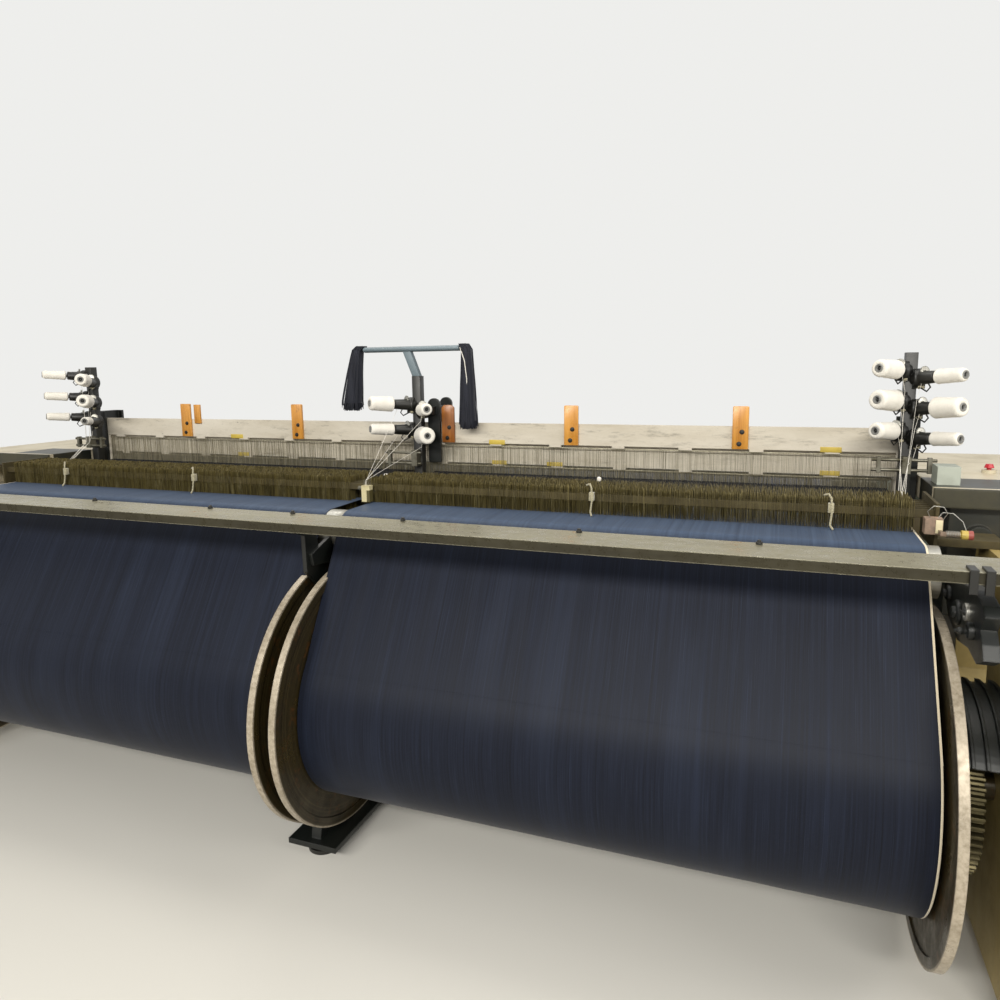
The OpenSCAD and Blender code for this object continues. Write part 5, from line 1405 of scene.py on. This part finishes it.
# %% [markdown]
# ### Posts, holders and tension gates
# Each holder is a black bracket that has grown fat with lint. A pair of polished discs on a pin brakes the
# yarn behind every cone, and a bent wire hook stands below it.

# %% Creel posts
CENTRE_POST_TOP = 1.735
# The wire hook of a holder from its hub: how far out, Y and Z.
HOOK_BENDS = ((0, -0.02, -0.03), (0.02, -0.05, -0.045), (0.03, -0.055, -0.030), (0.024, -0.05, -0.018))


def lint_tuft(middle, size, seed):
    """A small ragged lump of lint round a point."""
    rough = np.random.default_rng(seed)
    made = bmesh.new()
    bmesh.ops.create_icosphere(made, subdivisions=2, radius=size)
    for vert in made.verts:
        vert.co *= rough.uniform(0.65, 1.25)
        vert.co.z *= 0.8
        vert.co += middle
    mesh = bpy.data.meshes.new("tuft")
    made.to_mesh(mesh)
    made.free()
    return mesh


def holder(start, along, seat, hub):
    """The black bracket of one cone: cup, pin, boss, wire hook and foot."""
    reach, side = seat[2], Vector((seat[0], 0, 0))
    pin_end = reach + CONE_L - 0.009
    cup = [(0, 0), (0, 0.026), (reach * 0.5, 0.024), (reach - 0.003, 0.021), (reach, 0.016), (reach, 0)]
    pin = [(0, 0), (0, PIN_R), (pin_end - 0.003, PIN_R - 0.001), (pin_end, 0.0035), (pin_end, 0)]
    boss = [(-0.018, 0), (-0.018, 0.034), (0.010, 0.036), (0.018, 0.026), (0.018, 0)]
    hook = [hub + side * outward + Vector((0, y, z)) for outward, y, z in HOOK_BENDS]
    return [
        turned(cup, start, along, 20), turned(pin, start, along, 16), turned(boss, hub, side, 18),
        round_bar(hook, 0.003, 6),
        block(hub + Vector((-0.02, -0.012, -0.036)), hub + Vector((0.02, 0.014, -0.012))),
    ]


def yarn_brake(hub, side):
    """Two polished discs and their pin."""
    brake = hub + Vector((side * 0.014, -0.026, 0.026))
    discs = [
        turned([
            (gap - 0.0008, 0), (gap - 0.0004, 0.016), (gap + 0.0008, 0.0175), (gap + 0.0010, 0.012),
            (gap + 0.001, 0),
        ], brake, (0.5 * side, -0.8, 0.2), 20)
        for gap in (-0.0022, 0.0022)
    ]
    return [*discs, round_bar([brake, brake + Vector((0.0, -0.012, 0.004))], 0.0016, 6)]


for word, x, seats in POSTS:
    low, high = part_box(f"{word}_creel_post")
    top = CENTRE_POST_TOP if word == "centre" else high.z
    black, bright, lumps = [block((x - 0.020, 0.690, low.z), (x + 0.020, 0.730, top))], [], []
    for seat in seats:
        start, along = seat_axis(x, seat)
        hub = start + Vector((seat[0] * 0.012, -0.006, 0))
        black += holder(start, along, seat, hub)
        bright += yarn_brake(hub, seat[0])
        lumps.append((hub + Vector((0.006, -0.014, -0.03)), 0.011))
        lumps.append((start + along * 0.012 + Vector((0, 0, 0.016)), 0.008))
    make(f"{word}_post_and_holders", black, black_oxide, "loom_frame", [f"{word}_creel_post"], 0.0012, 40)
    make(f"{word}_yarn_brakes", bright, ground_steel, crease=50)
    tufts = [lint_tuft(middle, size, 10 * len(lumps) + i) for i, (middle, size) in enumerate(lumps)]
    show(f"{word}_lint", meshes_joined(tufts), lint_fluff, "loom_frame", crease=60)

# %% [markdown]
# ### The running ends
# A white end leaves the flank of every cone, passes the brake and runs down to the warp line. The outer
# groups feed the two outer selvedges beside the drop wires. The centre group runs to a cream guide between
# the sheets.

# %% Running ends
GUIDE_EYE = Vector((0.034, 0.163, 1.3375))
GUIDE_SLOT = GUIDE_EYE - Vector((0, 0.003, 0.021))
END_R = 0.0007


def running_end(word, x, seat):
    """The path of one end from its cone to the warp."""
    start, along = seat_axis(x, seat)
    reach, full = seat[2] + SEAT_GAP, seat[3]
    up = along.cross(Vector((0, -1, 0))).normalized()
    up = up if up.z > 0 else -up
    flank = start + along * (reach + CONE_L * 0.20) + up * (CONE_R0 * full)
    if word == "centre":
        beside = Vector((0.004 if seat[0] < 0 else 0, 0, 0))
        brake = Vector((-0.060, -0.062, -0.020)) if seat[0] < 0 else Vector((0.030, -0.060, -0.045))
        return [flank, start + brake, GUIDE_EYE + beside, GUIDE_SLOT + beside]
    side = 1 if x > 0 else -1
    low_x = side * (1.917 + 0.010 * (seat[1] - 1.5) * 10)
    brake = start + Vector((seat[0] * 0.026, -0.038, 0.024))
    return [
        flank, brake, (x + seat[0] * 0.020, 0.662, seat[1] - 0.070),
        (x + seat[0] * 0.012 - side * 0.01, 0.640, 1.400), (low_x, 0.405, 1.2505),
    ]


for word, x, seats in POSTS:
    ends = [round_bar(running_end(word, x, seat), END_R, 5) for seat in seats]
    make(f"{word}_running_ends", ends, cone_yarn, crease=60)

# %% [markdown]
# ## Hanger and hanks
# A bent tube of blue-grey paint carries two hanks of spare indigo ends. A hank is a soft bundle: strands
# that start together over the tube's end, spread as they fall and end at different heights. The strands
# come from a Geometry Nodes tree that copies one guide line, spreads it, and lets each copy wander.

# %% Hanger
HANGER_Z0, HANGER_Z1 = 1.843, 1.868
HANGER_X0, HANGER_X1 = -0.270, 0.211
HANGER_Y = POST_Y + 0.006
TUBE_HALF = 0.023
STRUT_X = -0.050
bar = [
    (HANGER_Y + TUBE_HALF * math.cos(a), (HANGER_Z0 + HANGER_Z1) / 2 + 0.0125 * math.sin(a))
    for a in [math.radians(i * 15) for i in range(24)]
]
strut = [
    (STRUT_X - 0.020, HANGER_Z0 + 0.003), (STRUT_X + 0.020, HANGER_Z0 + 0.003), (0.019, 1.72), (-0.019, 1.72),
]
hanger = [pushed(bar, HANGER_X0, HANGER_X1), pushed_back(strut, HANGER_Y - 0.013, HANGER_Y + 0.013)]
make("hanger_bar", hanger, blue_grey_enamel, "loom_frame", ["yarn_hanger"], 0.002, 40)

# %% [markdown]
# ### The hanks
# A full core carries the form, and hundreds of strands lie over it and fray at the foot.

# %% Hanks
HANK_TOP = HANGER_Z1 + 0.004
HANK_STEPS = 14
HANK_SIDES = 20


def guide_line(points):
    """A loose edge line that the strands follow."""
    mesh = bpy.data.meshes.new("guide")
    mesh.from_pydata(points, [(i, i + 1) for i in range(len(points) - 1)], [])
    return linked("guide", mesh)


def hank_core(route):
    """The full middle of a hank, from stations (x, z, half width, half depth)."""
    points = []
    for x, z, wide, deep in route:
        for k in range(HANK_SIDES):
            angle = 2 * math.pi * k / HANK_SIDES
            fold = 1 + 0.07 * math.sin(3 * angle + z * 30) + 0.05 * math.sin(5 * angle - x * 40)
            points.append((x + wide * fold * math.cos(angle), HANGER_Y + deep * fold * math.sin(angle), z))
    return points, tube_faces(len(route), HANK_SIDES)


def hank_route(x, side, foot_x, foot_z, foot_half):
    """Stations of a hank from the hanger's end x down to its foot."""
    route = [(x + side * 0.016, HANK_TOP, 0.010, 0.014)]
    for i in range(1, HANK_STEPS + 1):
        share = i / HANK_STEPS
        half = 0.020 + (foot_half - 0.020) * share ** 0.8
        middle = x + side * 0.030 + (foot_x - x - side * 0.030) * share ** 0.75
        route.append((middle, HANK_TOP - (HANK_TOP - foot_z) * share, half, 0.024 + 0.010 * share))
    return route


def hank_of(route, seed):
    """Loose strands that run over the hank's core and fray below it."""
    foot_x, foot_z, wide, deep = route[-1]
    points = [(station[0], HANGER_Y, station[1]) for station in route] + [(foot_x, HANGER_Y, foot_z - 0.022)]
    return grow(
        STRANDS, guide_line(points), Strands=420, Top_spread=(0.034, 0.044, 0.004),
        Foot_spread=(1.9 * wide, 2.1 * deep, 0.030), Wander=0.007, Thickness=0.0015, Seed=seed,
        Finish=hank_yarn,
    )


ROUTES = (
    hank_route(HANGER_X0, -1, -0.345, 1.612, 0.044), hank_route(HANGER_X1, 1, 0.243, 1.535, 0.034),
)
hanks = [hank_of(route, seed) for route, seed in zip(ROUTES, (5, 9))]
hanks += [mesh_from(hank_core(route)) for route in ROUTES]
show("indigo_hanks", meshes_joined(hanks), hank_yarn, "loom_frame", ["yarn_hanks"], 60)
END_ON_HANK = (
    (0.006, 0.021, 1.858), (0.028, 0.026, 1.80), (0.038, 0.027, 1.72), (0.036, 0.027, 1.64),
    (0.026, 0.026, 1.578),
)
loose_end = [(HANGER_X1 + x, HANGER_Y - y, z) for x, y, z in END_ON_HANK]
make("white_end_on_hank", round_bar(loose_end, 0.0022, 6), cone_yarn, crease=60)

# %% [markdown]
# ## Wooden blocks
# The blocks on the first heald frame are offcuts of hardwood, split and worn, each held by two bolts. They
# move with their frame. The centre block is older and darker, with cut corners.

# %% Wooden blocks
frame_low, frame_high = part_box("frame_blocks")
BLOCK_W = 0.064
DARK_BLOCK_X = 0.120
BLOCK_X = (-1.395, -0.700, DARK_BLOCK_X, 0.700, 1.395)
BLOCK_FACE = frame_high.y - 0.0003


def wood_block(x, cut):
    """One block with a cut top, slightly narrower than its place."""
    half = BLOCK_W / 2 - 0.001
    foot, top = frame_low.z + 0.001, frame_high.z
    outline = [(-half, foot), (half, foot), (half, top - cut)]
    outline += [(half - cut, top), (cut - half, top), (-half, top - cut)]
    return pushed_back([(x + u, z) for u, z in outline], frame_low.y, BLOCK_FACE)


pale = [wood_block(x, 0.003) for x in BLOCK_X if x != DARK_BLOCK_X]
pale.append(block((-1.340, frame_low.y + 0.001, 1.500), (-1.300, BLOCK_FACE, 1.598)))
make("pale_blocks", pale, block_wood, "heald_set_1", ["frame_blocks"], 0.0018, 40)
dark = wood_block(DARK_BLOCK_X, 0.012)
make("dark_block", dark, dark_block_wood, "heald_set_1", ["frame_blocks"], 0.0018, 40)
washer_and_head = [(-0.001, 0), (-0.001, 0.010), (0.0005, 0.010)]
washer_and_head += [(0.0005, 0.0065), (0.006, 0.0065), (0.0065, 0)]
heads = [
    turned(washer_and_head, (x + aside, frame_low.y, z), (0, -1, 0), 12)
    for x in BLOCK_X for aside, z in ((-0.004, 1.452), (0.006, 1.50))
]
make("block_bolts", heads, black_oxide, "heald_set_1", crease=40)

# %% [markdown]
# ## Small parts on the warp line
# Yellow clips lock the staves, and cast hooks stand among the drop wires. White knobs mark the ends of the
# contact bars. The cream block between the two sheets belongs to the construction, and gets a wire arch and
# a roller that gather the ends.

# %% Clips, hooks and guide
for word, body, xs, half, y, z0, z1 in (
    ("front", "heald_set_1", (-1.080, 0.354, 1.729), 0.038, 0.7725, 1.4255, 1.4465),
    ("rear", "heald_set_2", (-1.070, 0.352, 0.614, 1.730), 0.036, 0.8025, 1.3315, 1.3505),
):
    clips = [block((x - half, y, z0), (x + half, y + 0.015, z1)) for x in xs]
    make(f"{word}_stave_clips", clips, yellow_moulding, body, round_edges=0.001)
hooks = []
for x in (-1.580, -0.825, 0.932, 1.702):
    hooks.append(round_bar([
        (x - 0.022, 0.195, 1.352), (x - 0.008, 0.186, 1.358), (x, 0.176, 1.345), (x + 0.002, 0.172, 1.300),
        (x - 0.002, 0.168, 1.262), (x + 0.006, 0.150, 1.2515),
    ], 0.0035))
    hooks.append(block((x - 0.009, 0.172, 1.300), (x + 0.008, 0.190, 1.330)))
make("contact_bar_hooks", hooks, lint_fluff, round_edges=0.0015)
knob = [(0, 0), (0, 0.006), (0.006, 0.009), (0.013, 0.008), (0.017, 0)]
knobs = [turned(knob, (x, 0.376, z), (0, 0, 1), 16) for x, z in ((0.006, 1.3205), (0.913, 1.340))]
make("contact_bar_knobs", knobs, cone_yarn, crease=50, slot="control_plastic")
GUIDE_Y = 0.163
ARCH_FOOT, ARCH_KNEE, ARCH_TOP = 1.3173, 1.334, 1.3395
arch = [(0.026, ARCH_FOOT), (0.026, ARCH_KNEE), (0.030, ARCH_TOP)]
arch += [(0.042, ARCH_TOP), (0.046, ARCH_KNEE), (0.046, ARCH_FOOT)]
roller = [(-0.001, 0), (-0.001, 0.0080), (0.015, 0.0080), (0.018, 0.0055), (0.018, 0)]
guide = [
    round_bar([(x, GUIDE_Y, z) for x, z in arch], 0.0012),
    turned(roller, (0.022, GUIDE_Y - 0.005, 1.3085), (-1, 0, 0), 20),
]
make("centre_end_guide", guide, dull_steel, crease=50)

# %% [markdown]
# ### Selvedge guide at the right end
# A cream wear plate faces the guide block, wire loops lead the ends over it, and a coil spring pulls at the
# spool beside it.

# %% Selvedge guide
plate = block((1.984, 0.1272, 1.262), (2.0025, 0.1305, 1.302))
make("guide_wear_plate", plate, cream_moulding, round_edges=0.0008)
SPRING_TURNS, SPRING_R = 9, 0.0098
SPRING_X0, SPRING_X1 = 2.0062, 2.0428
SPRING_Y, SPRING_Z = 0.100, 1.2673
POINTS_IN_TURN = 12
coil = []
for i in range(SPRING_TURNS * POINTS_IN_TURN + 1):
    turn, share = 2 * math.pi * i / POINTS_IN_TURN, i / (SPRING_TURNS * POINTS_IN_TURN)
    coil.append((
        SPRING_X0 + (SPRING_X1 - SPRING_X0) * share, SPRING_Y + SPRING_R * math.cos(turn),
        SPRING_Z + SPRING_R * math.sin(turn),
    ))
loops = [
    round_bar(coil, 0.0011, 6),
    round_bar([
        (1.972, 0.145, 1.303), (1.962, 0.139, 1.326), (1.978, 0.136, 1.343), (2.004, 0.139, 1.340),
        (2.016, 0.145, 1.320), (2.0035, 0.150, 1.296),
    ], 0.0013),
    round_bar([
        (1.992, 0.150, 1.303), (2.004, 0.149, 1.322), (2.030, 0.140, 1.322), (2.052, 0.120, 1.302),
        (2.058, 0.104, 1.280),
    ], 0.0013),
]
make("guide_wires", loops, ground_steel, crease=60)

# %% [markdown]
# ## Back rest castings
# Each lever is a black casting with a bright bush, an upper boss and bolts, and it swings with the back
# rest.

# %% Lever details
LEVER_FACE = 2.002
PIVOT = (-0.242, 1.140)
WHIP_BOSS = (-0.304, 1.112)
BUSH = [(-0.001, 0.014), (-0.001, 0.023), (0.006, 0.023), (0.008, 0.021), (0.008, 0.017), (0.006, 0.014)]
BOSS = [(-0.001, 0.0145), (-0.001, 0.022), (0.012, 0.021), (0.014, 0.018), (0.014, 0.0145)]
STUDS = ((-0.150, 1.110, 0.034), (-0.030, 1.128, 0.022), (*PIVOT, 0.010), (-0.195, 1.075, 0.010))
bushes, bosses = [], []
for side in (-1, 1):
    inner, way = side * LEVER_FACE, (-side, 0, 0)
    bushes.append(turned([*BUSH, BUSH[0]], (inner, *PIVOT), way, 32))
    bosses.append(turned([*BOSS, BOSS[0]], (inner, *WHIP_BOSS), way, 28))
    for y, z, r in STUDS:
        base = [(-0.001, 0), (-0.001, r), (0.006, r), (0.010, r * 0.86), (0.010, 0)]
        bosses.append(turned(base, (inner, y, z), way, 24))
        bosses.append(turned(rod(0.009, 0.018, r * 0.5), (inner, y, z), way, 6))
make("lever_bushes", bushes, ground_steel, "back_rest", crease=40)
make("lever_bosses", bosses, dark_casting, "back_rest", crease=40)

# %% [markdown]
# ## Bearings, bolts and covers of the frame
# Bolted caps close the bearings on the outside of the side frames. The heads carry handles and louvres, the
# motor has cooling fins, and the flywheel a ring of bolts on its hub.

# %% Bearing caps and bolts
CAP_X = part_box("right_side_frame")[1].x - 0.0005
CAPS = ((BEAM_Y, BEAM_Z, 0.041, 0.100), (*roll_of("cloth_roll")[:2], 0.031, 0.075))
caps, bolts = [], []
for side in (-1, 1):
    for y, z, bore, radius in CAPS:
        face = (side * CAP_X, y, z)
        cap = [(0, bore + 0.004), (0, radius), (0.014, radius), (0.018, radius - 0.005)]
        cap += [(0.018, bore + 0.006), (0.014, bore + 0.004), (0, bore + 0.004)]
        caps.append(turned(cap, face, (side, 0, 0), 40))
        bolt = turned(rod(0.016, 0.025, 0.010), (0, radius * 0.76, 0), (side, 0, 0), 6)
        bolts.append(grow(
            RING, pattern_of(bolt, 0.001), Centre=face, Copies=6, First=0.3, Turn=math.pi / 3,
            Finish=black_oxide,
        ))
make("bearing_caps", caps, khaki_enamel, crease=40)
show("bearing_bolts", meshes_joined(bolts), black_oxide, "loom_frame")

# %% [markdown]
# ### Head covers
# Louvres let the heat out at the ends of the heads, and a grab handle opens each door.

# %% Head details
HANDLE = ((-0.002, 1.10), (0.022, 1.10), (0.022, 1.22), (-0.002, 1.22))
louvres, grips = [], []
for side in (-1, 1):
    grips.append(round_bar([(side * (head_high.x + x), 1.28, z) for x, z in HANDLE], 0.006, 10))
    slat = block((-0.003, -0.090, -0.002), (0.003, 0.090, 0.002))
    louvres.append(grow(
        ROWS, pattern_of(slat, 0.0008), Start=(side * head_high.x, 0.72, 1.00), Columns=9, Step=(0, 0, 0.022),
        Finish=black_oxide,
    ))
make("head_door_handles", grips, black_oxide, crease=50)
show("head_louvres", meshes_joined(louvres), black_oxide, "loom_frame")

# %% [markdown]
# ### Motor and flywheel
# Cooling fins stand round the motor's shell between its two end shields.

# %% Motor and flywheel details
motor_low, motor_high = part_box("drive_motor")
MOTOR_AXIS = roll_of("motor_pulley")[:2]
MOTOR_R = motor_high.z - MOTOR_AXIS[1]
FLY_HUB = (-2.8145, 1.050, 1.060)
fin = block((motor_low.x + 0.055, MOTOR_R - 0.001, -0.0018), (motor_high.x - 0.060, MOTOR_R + 0.010, 0.0018))
fins = grow(
    RING, pattern_of(fin, 0.0006), Centre=(0, *MOTOR_AXIS), Copies=19, First=-0.30, Turn=math.radians(11),
    Finish=motor_enamel,
)
show("motor_fins", fins, motor_enamel, "loom_frame")
hub_bolt = turned(rod(0, 0.008, 0.008), (0, 0.045, 0), (-1, 0, 0), 6)
hub_bolts = grow(
    RING, pattern_of(hub_bolt, 0.0008), Centre=FLY_HUB, Copies=6, Turn=math.pi / 3, Finish=black_oxide,
)
show("flywheel_bolts", hub_bolts, black_oxide, "flywheel_set")
